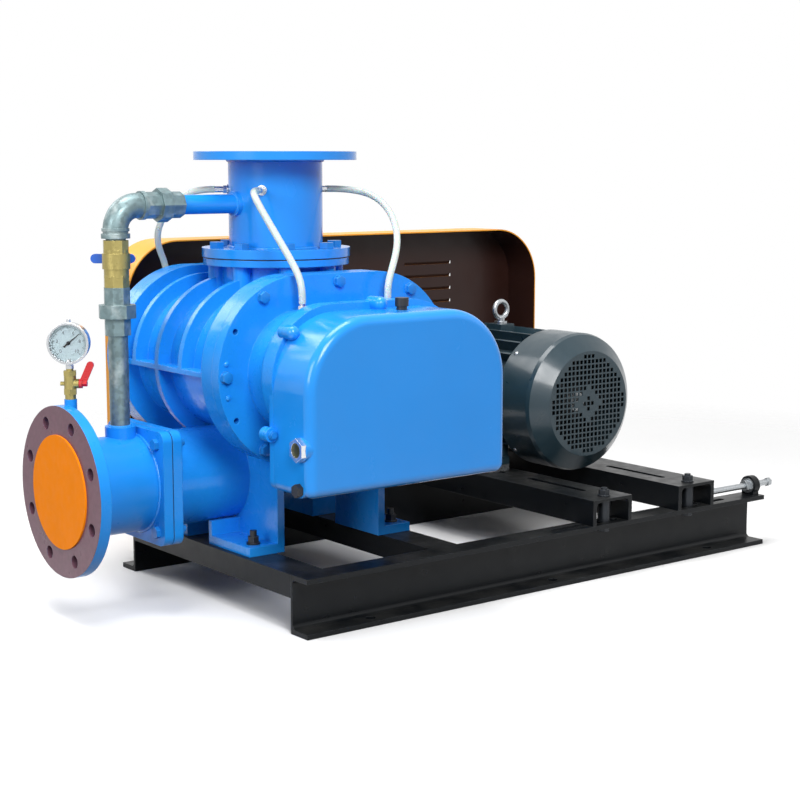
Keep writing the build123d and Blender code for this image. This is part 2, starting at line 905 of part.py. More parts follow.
def bearing_outer_rings():
    """The four outer rings."""
    inner = bearing_outer - bearing_outer_wall
    rings = []
    for x in axes:
        for y in bearing_starts():
            place = (x, y, shaft_height)
            rings.append(tube(place, (0, 1, 0), bearing_outer, inner, bearing_width))
    return rings


def bearing_inner_set(x):
    """Inner rings with their balls, which turn with one shaft."""
    ring_outer = shaft_radius + bearing_inner_wall
    track = (ring_outer + bearing_outer - bearing_outer_wall) / 2
    ball = (bearing_outer - bearing_outer_wall - ring_outer) / 2 - body_gap
    pieces = []
    for y in bearing_starts():
        ring = tube((x, y, shaft_height), (0, 1, 0), ring_outer, shaft_radius, bearing_width)
        middle = y + bearing_width / 2
        cage = tube((x, middle - 3, shaft_height), (0, 1, 0), track - 1, ring_outer, 6)
        ring += cage
        for dx, dz in circle_points(track, ball_count):
            ring += Pos(x + dx, middle, shaft_height + dz) * Sphere(ball)
        pieces.append(ring)
    return pieces


def shaft_seals():
    """A lip seal behind each bearing."""
    seals = []
    inner = shaft_radius + shoulder_rise + body_gap
    for x in axes:
        for y in (casing_front - seal_width - 1, casing_back + 1):
            seals.append(tube((x, y, shaft_height), (0, 1, 0), seal_bore_radius, inner, seal_width))
    return seals


# ---------------------------------------------------------------- belt drive

def pulley(x, z, radius, bore):
    """A V pulley for the belts, with a tapered bush hub."""
    width = belt_pitch * (belt_count - 1) + 2 * first_groove
    body = rod((x, pulley_front, z), (0, 1, 0), radius + rim_rise - 0.1, width)
    for index in range(belt_count):
        middle = pulley_front + first_groove + index * belt_pitch
        body -= groove(x, middle, z, radius)
    body -= tube((x, pulley_front, z), (0, 1, 0), radius - 22, bore + 22, 18)
    body -= rod((x, pulley_front, z), (0, 1, 0), bore, width)
    return body


def groove(x, y, z, radius):
    """One V groove, as a ring to cut away."""
    top = radius + rim_rise
    half_top = groove_width / 2
    half_low = half_top - groove_depth * math.tan(math.radians(groove_angle))
    shape = Polyline((top - groove_depth, -half_low), (top, -half_top), (top, half_top),
                     (top - groove_depth, half_low), close=True)
    plane = Plane(origin=(x, y, z), x_dir=(1, 0, 0), z_dir=(0, 0, 1))
    axis = Axis((x, y, z), (0, 1, 0))
    return revolve(plane * make_face(shape), axis, 360)


def drive_belts():
    """The V-belts: a wedge section swept round both pulleys, clear of the groove walls."""
    slope = math.tan(math.radians(groove_angle))
    clear = 1.2 * body_gap
    half_top = groove_width / 2 - (rim_rise - belt_rise) * slope - clear
    half_low = half_top - belt_height * slope
    low = belt_rise - belt_height
    section = Polyline((belt_rise, -half_top), (belt_rise, half_top), (low, half_low),
                       (low, -half_low), close=True)
    belts = []
    for index in range(belt_count):
        y = pulley_front + first_groove + index * belt_pitch
        path = belt_loop(y)
        start = Plane(origin=path @ 0, x_dir=belt_outward(), z_dir=path % 0)
        belts.append(sweep(start * make_face(section), path=path))
    return belts


def belt_lean():
    """The angle from the pump pulley's centre line up to the belt's straight run."""
    span = math.hypot(motor_x - right_axis, motor_z - shaft_height)
    tilt = math.atan2(motor_z - shaft_height, motor_x - right_axis)
    return tilt, math.acos((pump_pulley_radius - motor_pulley_radius) / span)


def belt_outward():
    """The direction outward from the belt's upper run."""
    tilt, lean = belt_lean()
    return (math.cos(tilt + lean), 0, math.sin(tilt + lean))


def belt_loop(y):
    """A belt's pitch line round both pulleys."""
    tilt, lean = belt_lean()
    first = (right_axis, shaft_height, pump_pulley_radius)
    second = (motor_x, motor_z, motor_pulley_radius)

    def at(pulley, turn):
        x, z, radius = pulley
        return (x + radius * math.cos(turn), y, z + radius * math.sin(turn))

    upper = Line(at(first, tilt + lean), at(second, tilt + lean))
    far = ThreePointArc(upper @ 1, at(second, tilt), at(second, tilt - lean))
    lower = Line(far @ 1, at(first, tilt - lean))
    near = ThreePointArc(lower @ 1, at(first, tilt + math.pi), upper @ 0)
    return Wire([upper, far, lower, near])


def guard_outline(inset):
    """The belt guard's outline in (x, z), drawn in by a wall."""
    width = guard_right - guard_left - 2 * inset
    height = guard_top - guard_bottom - 2 * inset
    middle = Pos((guard_left + guard_right) / 2, (guard_top + guard_bottom) / 2)
    section = middle * Rectangle(width, height)
    upper = [v for v in section.vertices() if v.Y > guard_top - inset - 1]
    section = fillet(upper, guard_corner_radius - inset)
    low = [v for v in section.vertices() if v.Y < guard_bottom + inset + 1]
    return fillet(low, 40 - inset)


def belt_guard():
    """The guard: a back panel with louvres inside a rolled edge, on three foot brackets."""
    guard = bar_y(guard_outline(0), guard_front, guard_back)
    guard -= bar_y(guard_outline(guard_sheet), guard_front, guard_back - guard_sheet)
    for row in range(louvre_rows):
        z = louvre_top - row * louvre_pitch
        slot = Pos((louvre_left + louvre_right) / 2, z)
        slot *= Rectangle(louvre_right - louvre_left, louvre_slot)
        guard -= bar_y(slot, guard_back - guard_sheet, guard_back)
        guard += louvre_hood(z)
    for x in bracket_places:
        guard += guard_bracket(x)
    return guard


def louvre_hood(z):
    """The pressed hood over one louvre slot, outside the guard."""
    profile = Polyline((guard_back, z + 12), (guard_back + 7, z - 3), (guard_back + 7, z - 6),
                       (guard_back + 5, z - 6), (guard_back, z + 7), close=True)
    return bar_x(make_face(profile), louvre_left, louvre_right)


def guard_bracket(x):
    """A stepped strap from the guard down to the rear channel."""
    span = (x - bracket_half, x + bracket_half)
    back = guard_front + 2 * bracket_thick
    front = back - bracket_thick
    foot_span = sorted((channel_back + bracket_inset, back))
    foot = block(span, foot_span, (channel_depth, channel_depth + bracket_thick))
    riser = block(span, (front, back), (channel_depth, guard_bottom))
    head = block(span, (front, back + bracket_half), (guard_bottom - bracket_thick, guard_bottom))
    return foot + riser + head


# ---------------------------------------------------------------- motor

def motor_frame():
    """The finned motor body with its feet, eye-bolt pad and terminal-box pad."""
    bore = motor_body_radius - motor_body_wall
    length = motor_body_back - motor_body_front
    body = rod((motor_x, motor_body_front, motor_z), (0, 1, 0), motor_body_radius, length)
    for side in (-1, 1):
        for index in range(motor_fins_side):
            body += motor_fin(90 - side * (18 + index * 14))
    body += motor_feet()
    pad = Pos(motor_x, eye_bolt_y) * Rectangle(36, 44)
    body += bar_z(pad, motor_z + motor_body_radius - 8, eye_pad_top)
    body += block((terminal_face, motor_x - 90), terminal_pad_y, terminal_pad_z)
    return body - rod((motor_x, motor_body_front, motor_z), (0, 1, 0), bore, length)


def motor_fin(turn):
    """One cooling fin along the motor at an angle in degrees."""
    depth = motor_fin_radius - motor_body_radius + 4
    fin = Pos(motor_body_radius - 4 + depth / 2, 0) * Rectangle(depth, motor_fin_thick)
    profile = Pos(motor_x, motor_z) * Rot(0, 0, turn) * fin
    return bar_y(profile, motor_body_front + 6, motor_body_back - 6)


def motor_feet():
    """Four feet, joined in pairs by a web along each side."""
    feet = None
    for side in (-1, 1):
        hole_x = motor_x + side * motor_foot_x / 2
        for y in foot_y:
            pad_x = sorted((hole_x + side * 27, hole_x - side * 27))
            pad = block(pad_x, (y - 24, y + 24), (motor_foot_base, motor_foot_base + motor_foot_thick))
            web_x = sorted((hole_x - side * 13, hole_x - side * 27))
            web = block(web_x, (y - 20, y + 20), (motor_foot_base, motor_z - 40))
            piece = pad + web
            piece -= rod((hole_x, y, motor_foot_base), UP, 6, motor_foot_thick)
            feet = piece if feet is None else feet + piece
    return feet


def motor_end_shields():
    """The drive-end and fan-end bearing shields."""
    shields = []
    for start, direction in ((motor_body_back, 1), (motor_body_front, -1)):
        axis = (0, direction, 0)
        shield = rod((motor_x, start, motor_z), axis, motor_body_radius + 4, 10)
        shield += rod((motor_x, start + direction * 10, motor_z), axis, 62, 10)
        shield += rod((motor_x, start, motor_z), (0, -direction, 0), 48, 14)
        shield -= rod((motor_x, start - direction * 14, motor_z), axis, shield_bore, 24)
        shield -= rod((motor_x, start, motor_z), axis, motor_shaft_radius + 1, 24)
        shields.append(shield)
    return shields


def motor_stator():
    """The stator pack with its end windings."""
    outer = motor_body_radius - motor_body_wall
    stator = tube((motor_x, stator_start, motor_z), (0, 1, 0), outer, 70, stator_length)
    for start in (stator_start - winding_length, stator_start + stator_length):
        stator += tube((motor_x, start, motor_z), (0, 1, 0), 96, 72, winding_length)
    return stator


def motor_rotor():
    """The motor's shaft with its core and bearing inner rings."""
    shaft_end = motor_shoulder + motor_shaft_length
    fan_end = motor_body_front - 84
    shaft = rod((motor_x, fan_end, motor_z), (0, 1, 0), motor_shaft_radius, shaft_end - fan_end)
    core = rod((motor_x, stator_start, motor_z), (0, 1, 0), 69.4, stator_length)
    ring_gap = shield_bore - body_gap
    front_ring = rod((motor_x, motor_body_front - 9, motor_z), (0, 1, 0), ring_gap, 19)
    back_ring = rod((motor_x, motor_body_back - 10, motor_z), (0, 1, 0), ring_gap, 19)
    return shaft + core + front_ring + back_ring


def motor_fan():
    """The plastic cooling fan: a hub, a disc and straight blades."""
    start = motor_body_front - 76
    fan = tube((motor_x, start, motor_z), (0, 1, 0), 32, motor_shaft_radius, 50)
    fan += tube((motor_x, start + 44, motor_z), (0, 1, 0), 118, motor_shaft_radius, 4)
    for index in range(8):
        blade = Pos(74, 0) * Rectangle(88, 4)
        profile = Pos(motor_x, motor_z) * Rot(0, 0, index * 45) * blade
        fan += bar_y(profile, start, start + 44)
    return fan


def motor_fan_cover():
    """The fan cover: a shouldered drum with a grille of square holes."""
    y0 = fan_cover_front
    outer = [(0, y0), (fan_grille_radius, y0), (fan_cover_radius - 3, y0 + 26),
             (fan_cover_radius, y0 + 34), (fan_cover_radius, fan_cover_back)]
    t = fan_cover_sheet
    inner = [(fan_cover_radius - t, fan_cover_back), (fan_cover_radius - t, y0 + 34.5),
             (fan_cover_radius - 3 - t, y0 + 27), (fan_grille_radius - 1, y0 + t), (0, y0 + t)]
    face = make_face(Polyline(*(outer + inner), close=True))
    cover = Pos(motor_x, 0, motor_z) * revolve(face, Axis.Y, 360)
    return cover - bar_y(grille_holes(), y0 - 1, y0 + t + 1)


def grille_holes():
    """Rows of square holes over the grille's face, leaving a plain diamond ring in the middle."""
    count = int(fan_grille_radius / grille_pitch)
    places = []
    for row in range(-count, count + 1):
        for column in range(-count, count + 1):
            x = column * grille_pitch
            z = row * grille_pitch
            plain = grille_ring[0] < abs(x) + abs(z) < grille_ring[1]
            if math.hypot(x, z) < fan_grille_radius - grille_margin and not plain:
                places.append((motor_x + x, motor_z + z))
    return Sketch() + [Pos(x, z) * Rectangle(grille_hole, grille_hole) for x, z in places]


def motor_terminal_box():
    """The cast terminal box on the side that faces the pump, with its lid."""
    left = terminal_lid_x
    shelf = left + terminal_lid_thick
    right = left + terminal_depth
    neck = block((right - 20, terminal_face), terminal_pad_y, terminal_pad_z)
    box = block((shelf, right), (58, 162), (motor_z - 48, motor_z + 52))
    box = fillet(box.edges().filter_by(Axis.X), 8)
    lid = block((left, shelf), (55, 165), (motor_z - 51, motor_z + 55))
    lid = fillet(lid.edges().filter_by(Axis.X), 9)
    entry = rod((left + 36, 110, motor_z - 62), UP, 16, 20)
    return box + neck + lid + entry


def motor_mount_bolts():
    """Bolts with washers and nuts that hold the motor feet to the rails, and packing plates."""
    pieces = []
    washer = 2
    under = rail_top - channel_web
    head_z = motor_foot_base + motor_foot_thick + washer
    for side in (-1, 1):
        x = motor_x + side * motor_foot_x / 2
        for y in foot_y:
            fastener = hexagon((x, y, head_z), UP, 16, 7)
            fastener += rod((x, y, head_z - washer), UP, 11, washer)
            fastener += rod((x, y, under - 20), UP, 5, head_z - under + 20)
            fastener += hexagon((x, y, under), (0, 0, -1), 17, 9)
            pieces.append(fastener)
            packing = block((x - 27, x + 27), (y - 24, y + 24), (rail_top, motor_foot_base))
            pieces.append(packing - rod((x, y, rail_top), UP, 6, motor_packing))
    return pieces


def motor_eye_bolt():
    """The lifting eye on top of the motor."""
    collar = rod((motor_x, eye_bolt_y, eye_pad_top), UP, 13, 5)
    stem = rod((motor_x, eye_bolt_y, eye_pad_top + 5), UP, 8, 8)
    ring = Pos(motor_x, eye_bolt_y, eye_pad_top + 29) * Rot(90, 0, 0) * Torus(17, 5)
    return collar + stem + ring


# ---------------------------------------------------------------- ports and spools

def inlet_spool():
    """The inlet pipe between its plate flange and the bolted lower flange."""
    base = port_boss_top + gasket_thick
    length = inlet_top - base
    spool = rod((pump_x, pump_y, base), UP, pipe_radius, length)
    spool += rod((pump_x, pump_y, base), UP, inlet_lower_radius, inlet_lower_thick)
    plate_start = inlet_top - inlet_flange_thick
    spool += rod((pump_x, pump_y, plate_start), UP, port_flange_radius, inlet_flange_thick)
    start = pump_x - pipe_radius
    nipple = start - nipple_length
    spool += rod((nipple, pump_y, bypass_height), (1, 0, 0), pipe_1in, nipple_length + 10)
    spool += rod((start - 6, pump_y, bypass_height), (1, 0, 0), pipe_1in + 5, 12)
    spool -= rod((pump_x, pump_y, base), UP, port_bore / 2, length)
    spool -= rod((nipple, pump_y, bypass_height), (1, 0, 0), pipe_1in_bore, nipple_length + 20)
    for x, y in circle_points(port_pcd / 2, port_holes, 22.5):
        spool -= rod((pump_x + x, pump_y + y, plate_start), UP, port_hole / 2, inlet_flange_thick)
    for x, y in port_stud_points():
        spool -= rod((pump_x + x, pump_y + y, base), UP, 8.5, inlet_lower_thick)
    return spool


def inlet_bolts():
    """Hex bolts through the lower inlet flange into the port's bosses."""
    top = port_boss_top + gasket_thick + inlet_lower_thick
    pieces = []
    for x, y in port_stud_points():
        place = (pump_x + x, pump_y + y, top)
        pieces.append(hexagon(place, UP, 24, 10) + rod(place, (0, 0, -1), 8, inlet_lower_thick + 22))
    return pieces


def port_gaskets():
    """The gaskets under the inlet flange and between the square flanges."""
    inlet = tube((pump_x, pump_y, port_boss_top), UP, inlet_lower_radius - 2, port_bore / 2, gasket_thick)
    for x, y in port_stud_points():
        inlet -= rod((pump_x + x, pump_y + y, port_boss_top), UP, 9, gasket_thick)
    square = Pos(pump_y, discharge_height) * RectangleRounded(square_flange - 4, square_flange - 4, 16)
    square -= Pos(pump_y, discharge_height) * Circle(port_bore / 2)
    for y, z in square_bolt_points():
        square -= Pos(y, z) * Circle(7.5)
    return [inlet, bar_x(square, square_joint_x - gasket_thick, square_joint_x)]


def discharge_spool():
    """The discharge pipe between its square flange and its round flange, with two branches."""
    end = square_joint_x - gasket_thick
    axis = (1, 0, 0)
    length = end - discharge_face
    start = (discharge_face, pump_y, discharge_height)
    spool = rod(start, axis, pipe_radius, length)
    spool += rod(start, axis, port_flange_radius, discharge_flange_thick)
    square = Pos(pump_y, discharge_height) * RectangleRounded(square_flange, square_flange, 18)
    spool += bar_x(square, end - square_flange_thick, end)
    collar_top = discharge_height + pipe_radius + collar_height
    spool += rod((bypass_x, pump_y, discharge_height), UP, collar_radius, collar_top - discharge_height)
    boss_top = gauge_boss_top
    spool += rod((gauge_x, pump_y, discharge_height), UP, 10.5, boss_top - discharge_height)
    spool -= rod(start, axis, port_bore / 2, length)
    spool -= rod((bypass_x, pump_y, discharge_height), UP, pipe_1in_bore, collar_top - discharge_height)
    spool -= rod((gauge_x, pump_y, discharge_height), UP, 4, boss_top - discharge_height)
    for y, z in circle_points(port_pcd / 2, port_holes, 22.5):
        place = (discharge_face, pump_y + y, discharge_height + z)
        spool -= rod(place, axis, port_hole / 2, discharge_flange_thick)
    for y, z in square_bolt_points():
        spool -= rod((end - square_flange_thick, y, z), axis, 7, square_flange_thick)
    return spool


def discharge_bolts():
    """Bolts and nuts through the pair of square flanges."""
    head_x = square_joint_x - gasket_thick - square_flange_thick
    grip = 2 * square_flange_thick + gasket_thick
    return [bolt((head_x, y, z), (-1, 0, 0), 12, grip) for y, z in square_bolt_points()]


def discharge_cap():
    """The push-in plastic cap on the discharge flange."""
    place = (discharge_face, pump_y, discharge_height)
    cap = rod(place, (-1, 0, 0), cap_radius, cap_thick)
    spigot = tube(place, (1, 0, 0), port_bore / 2 - 0.1, port_bore / 2 - 3, cap_spigot)
    return cap + spigot


def foot_bolts():
    """Studs with washers and nuts that hold the pump's feet to the cross members."""
    pieces = []
    top = channel_depth + pad_thick
    under = channel_depth - cross_web
    for side in (-1, 1):
        for y in foot_bolt_rows():
            x = foot_bolt_x(side)
            low = under - stud_reach
            stud = rod((x, y, low), UP, foot_bolt / 2, top + foot_stud_top - low)
            stud += rod((x, y, top), UP, foot_bolt, foot_washer)
            stud += hexagon((x, y, top + foot_washer), UP, foot_bolt * 1.5, foot_bolt * 0.9)
            stud += hexagon((x, y, under), (0, 0, -1), foot_bolt * 1.5, foot_bolt * 0.8)
            pieces.append(stud)
    return pieces


# ---------------------------------------------------------------- bypass line

def bypass_unions():
    """Two pipe unions: one on the nipple, one under the valve."""
    upper_end = pump_x - pipe_radius - nipple_length
    upper_length = upper_end - elbow_mouth_x()
    upper = union((upper_end, pump_y, bypass_height), (-1, 0, 0), upper_length, upper_nut)
    lower = union((bypass_x, pump_y, valve_bottom), (0, 0, -1), union_length, lower_nut)
    return [upper, lower]


def union(place, direction, length, nut_size):
    """A union: two octagonal ends either side of a ring nut, bored through."""
    point = Vector(*place)
    way = Vector(*direction)
    end = 0.36 * length
    ring = length - 2 * end
    octagon = extrude(RegularPolygon(21, 8, major_radius=False), end)
    body = along(point, way) * octagon
    body += along(point + way * (end + ring), way) * octagon
    nut = extrude(RegularPolygon(nut_size, 8, major_radius=False), ring)
    body += along(point + way * end, way) * nut
    return body - along(point, way) * Pos(0, 0, length / 2) * Cylinder(pipe_1in_bore, length)


def elbow_mouth_x():
    """Where the galvanized elbow's horizontal mouth ends."""
    return bypass_x + fitting_elbow_reach


def bypass_elbow():
    """The galvanized elbow with beaded ends, and the short thread down to the valve."""
    reach = fitting_elbow_reach
    mouth = (elbow_mouth_x(), pump_y, bypass_height)
    corner = (bypass_x, pump_y, bypass_height)
    bottom = (bypass_x, pump_y, bypass_height - reach)
    outer = pipe_1in + 4.5
    bend = reach - 14
    body = rod((bypass_x + bend, pump_y, bypass_height), (1, 0, 0), outer, 14)
    body += rod(bottom, UP, outer, 14)
    ring = Pos(bypass_x + bend, pump_y, bypass_height - bend) * Rot(90, 0, 0) * Torus(bend, outer)
    quarter = block((bypass_x - outer, bypass_x + bend), (pump_y - 40, pump_y + 40),
                    (bypass_height - bend, bypass_height + outer))
    body += ring & quarter
    bead = outer + 3
    body += rod((mouth[0] - 8, pump_y, bypass_height), (1, 0, 0), bead, 8)
    body += rod(bottom, UP, bead, 8)
    body += rod((bypass_x, pump_y, bottom[2] + 12), UP, bead - 1, 5)
    thread = rod((bypass_x, pump_y, valve_top), UP, pipe_1in, bottom[2] - valve_top + 4)
    body += thread
    inner = Pos(bypass_x + bend, pump_y, bypass_height - bend) * Rot(90, 0, 0)
    body -= (inner * Torus(bend, pipe_1in_bore)) & quarter
    body -= rod((bypass_x + bend, pump_y, bypass_height), (1, 0, 0), pipe_1in_bore, 14)
    body -= rod((bypass_x, pump_y, valve_top), UP, pipe_1in_bore, bypass_height - bend - valve_top)
    return body


def valve_way():
    """The direction of the valve's stem: towards the guard, turned out to the right."""
    turn = math.radians(valve_turn)
    return Vector(math.cos(turn), math.sin(turn), 0)


def bypass_valve_body():
    """The brass ball valve's body with octagonal ends and a stem neck."""
    middle = Vector(bypass_x, pump_y, valve_axis)
    body = rod((bypass_x, pump_y, valve_bottom + 16), UP, 21, valve_top - valve_bottom - 32)
    body += Pos(middle.X, middle.Y, middle.Z - 2) * Cylinder(valve_waist, 26)
    octagon = RegularPolygon(20.5, 8, major_radius=False)
    body += Pos(bypass_x, pump_y, valve_top - 26) * extrude(octagon, 26)
    body += Pos(bypass_x, pump_y, valve_bottom) * extrude(octagon, 20)
    neck = valve_way()
    body += rod(middle, neck, 9, 34)
    bore = rod((bypass_x, pump_y, valve_bottom), UP, pipe_1in_bore, valve_top - valve_bottom)
    body -= bore
    return body - rod(middle + neck * 14, neck, 5 + running_gap, 22)


def bypass_valve_handle():
    """The blue T-handle with its stem and cap nut."""
    middle = Vector(bypass_x, pump_y, valve_axis)
    neck = valve_way()
    plane = Plane(origin=middle + neck * 34.3, x_dir=(-neck.Y, neck.X, 0), z_dir=neck)
    wing = SlotOverall(76, 16)
    handle = plane * extrude(Pos(handle_shift, 0) * wing, 7)
    tip = Cylinder(8, 13, align=(Align.CENTER, Align.CENTER, Align.MIN))
    handle += plane * Pos(handle_shift + 30, 0, 0) * tip
    handle += rod(middle + neck * 14.4, neck, 5, 24)
    nut = hexagon(middle + neck * 41.3, neck, 14, 7)
    return handle + nut


def bypass_riser():
    """The galvanized pipe from the discharge pipe up to the lower union."""
    bottom = discharge_height + pipe_radius + collar_height
    return tube((bypass_x, pump_y, bottom), UP, pipe_1in, pipe_1in_bore, riser_top - bottom)


# ---------------------------------------------------------------- gauge

def gauge_plane():
    """The dial's plane: origin at the gauge's centre, normal towards the viewer's side."""
    turn = math.radians(gauge_turn)
    normal = (math.sin(turn), -math.cos(turn), 0)
    return Plane(origin=(gauge_x, pump_y, gauge_height), x_dir=(math.cos(turn), math.sin(turn), 0),
                 z_dir=normal)


def gauge_cock():
    """The brass cock between the discharge pipe's boss and the gauge."""
    base = gauge_boss_top
    cock = rod((gauge_x, pump_y, base), UP, 9, 8)
    cock += hexagon((gauge_x, pump_y, base + 8), UP, 20, 10)
    cock += rod((gauge_x, pump_y, base + 18), UP, 10, 22)
    stem = gauge_plane()
    middle = Vector(gauge_x, pump_y, cock_axis)
    cock += rod(middle, stem.x_dir, 8, 15)
    cock += rod(middle - stem.x_dir * 16, stem.x_dir, 3.5, 10)
    cock += hexagon((gauge_x, pump_y, base + 40), UP, 20, 8)
    cock += rod((gauge_x, pump_y, base + 48), UP, 6, gauge_stem_bottom - base - 48)
    cock -= rod((gauge_x, pump_y, base), UP, 3, gauge_stem_bottom - base)
    return cock


def gauge_cock_lever():
    """The red paddle lever, leaning away from the gauge, with its hub and nut."""
    dial = gauge_plane()
    stem = dial.x_dir
    start = Vector(gauge_x, pump_y, cock_axis) + stem * (15 + body_gap)
    lean = math.radians(lever_lean)
    up = stem * math.sin(lean) + Vector(*UP) * math.cos(lean)
    middle = start + stem * (lever_width / 2 - 1)
    paddle_plane = Plane(origin=middle - dial.z_dir * lever_thick / 2, x_dir=up, z_dir=dial.z_dir)
    paddle = paddle_plane * extrude(Pos(lever_length / 2, 0) * SlotOverall(lever_length, lever_width),
                                    lever_thick)
    paddle -= rod(start - stem * 20, stem, 20, 20)
    return paddle + rod(start, stem, 8, 5) + hexagon(start + stem * 5, stem, 9, 8)


def gauge_case():
    """The steel case: rim, back, dial floor, pivot post, socket and vent plug."""
    plane = gauge_plane()
    depth = gauge_depth
    case = plane * Pos(0, 0, -depth / 2) * Cylinder(gauge_radius - 1.5, depth,
                                                   align=(Align.CENTER, Align.CENTER, Align.MIN))
    case += plane * Pos(0, 0, depth / 2 - 6) * Cylinder(gauge_radius, 6,
                                                       align=(Align.CENTER, Align.CENTER, Align.MIN))
    edge = case.edges().filter_by(GeomType.CIRCLE).filter_by(lambda e: e.radius > gauge_radius - 0.1)
    case = fillet(edge, 1)
    case -= plane * Pos(0, 0, depth / 2 - 8) * Cylinder(gauge_radius - 4, 8,
                                                       align=(Align.CENTER, Align.CENTER, Align.MIN))
    socket_height = gauge_height - gauge_radius + 6 - gauge_stem_bottom
    case += rod((gauge_x, pump_y, gauge_stem_bottom), UP, 6.5, 6)
    case += hexagon((gauge_x, pump_y, gauge_stem_bottom + 2), UP, 12, socket_height)
    case += rod((gauge_x, pump_y, gauge_height + gauge_radius - 4), UP, 3.5, 8)
    hole = plane * Pos(0, 0, depth / 2 - 10) * Cylinder(1.5 + running_gap, 3,
                                                       align=(Align.CENTER, Align.CENTER, Align.MIN))
    return case - hole


def gauge_needle():
    """The pointer with its hub and spindle."""
    plane = gauge_plane()
    floor = gauge_depth / 2 - 8
    needle = make_face(Polyline((-10, -1.6), (24, -0.4), (26, 0), (24, 0.4), (-10, 1.6), close=True))
    needle = plane * Pos(0, 0, floor + 1.2) * Rot(0, 0, needle_rest) * extrude(needle, 0.8)
    bottom = (Align.CENTER, Align.CENTER, Align.MIN)
    needle += plane * Pos(0, 0, floor + 0.6) * Cylinder(3.2, 2.2, align=bottom)
    return needle + plane * Pos(0, 0, floor - 1.6) * Cylinder(1.5, 3, align=bottom)


def gauge_window():
    """The gauge's glass."""
    plane = gauge_plane()
    glass = Cylinder(gauge_radius - 4 - running_gap, 2, align=(Align.CENTER, Align.CENTER, Align.MIN))
    return plane * Pos(0, 0, gauge_depth / 2 - 2.6) * glass


# ---------------------------------------------------------------- hoses

def hose_upper_points():
    """Where the hoses meet their barbs on the inlet pipe."""
    reach = pipe_radius + barb_reach
    ways = hose_ways()
    return [(pump_x + reach * x, pump_y + reach * y, barb_height) for x, y in ways]


def hose_ways():
    """The directions in which the three upper barbs leave the inlet pipe."""
    return [(math.cos(math.radians(turn)), math.sin(math.radians(turn))) for turn in hose_turns]


def hose_lower_points():
    """Where the hoses meet their barbs on top of the bearing necks."""
    z = hose_pad_top + lower_barb
    return [(x, y, z) for x, y in zip(hose_end_x, hose_end_y)]


def hose_fittings():
    """Barbed fittings at both ends of each hose."""
    pieces = []
    for x, y in hose_ways():
        way = (x, y, 0)
        face = pipe_radius - 1
        place = (pump_x + face * x, pump_y + face * y, barb_height)
        piece = rod(place, way, 9, 3) + hexagon(place, way, 14, 10)
        piece += rod(place, way, 5.5, barb_reach + 1)
        piece -= rod((pump_x, pump_y, barb_height), way, pipe_radius, pipe_radius)
        pieces.append(piece)
    for x, y, z in hose_lower_points():
        base = (x, y, hose_pad_top)
        pieces.append(hexagon(base, UP, 14, 7) + rod(base, UP, 5.5, lower_barb))
    return pieces


def hose(points, label):
    """A hose along straight runs joined by tangent arcs as large as the runs allow."""
    runs = [(Vector(*b) - Vector(*a)) for a, b in zip(points, points[1:])]
    radii = []
    for before, after in zip(runs, runs[1:]):
        turn = math.radians(before.get_angle(after))
        radii.append(0.45 * min(before.length, after.length) / math.tan(turn / 2))
    path = FilletPolyline(*points, radius=radii)
    section = Plane(origin=points[0], z_dir=runs[0]) * (Circle(hose_radius) - Circle(hose_bore))
    body = sweep(section, path=path)
    area = math.pi * (hose_radius ** 2 - hose_bore ** 2)
    print(label, "radii", [round(r) for r in radii], "runs", [round(r.length) for r in runs],
          "length", round(path.length, 1), "volume ratio", round(body.volume / (area * path.length), 4))
    return body


def hose_routes():
    """The three hand-chosen routes: each leaves its upper barb in line and drops onto the lower."""
    between = [
        [(-491, -62, 710), (-494, -81, 694), (-488, -101, 666), (-482, -126, 634),
         (-478, -152, 604), (-475, -172, 578)],
        [(-218, 32, 714), (-200, 6, 708), (-194, -28, 694), (-199, -64, 672), (-213, -98, 646),
         (-236, -130, 620), (-264, -158, 596), (-286, -176, 575)],
        [(-499, 150, 708), (-513, 176, 689), (-520, 203, 661), (-517, 226, 632), (-504, 242, 606),
         (-489, 249, 580)],
    ]
    routes = []
    for top, way, middle, low in zip(hose_upper_points(), hose_ways(), between, hose_lower_points()):
        leave = (top[0] + first_run * way[0], top[1] + first_run * way[1], top[2])
        drop = (low[0], low[1], low[2] + last_run)
        routes.append([top, leave] + middle + [drop, low])
    return routes


# ---------------------------------------------------------------- nodes

routes = hose_routes()
rear_channel = base_channel()
drive_shaft_end = pulley_front + belt_pitch * (belt_count - 1) + 32

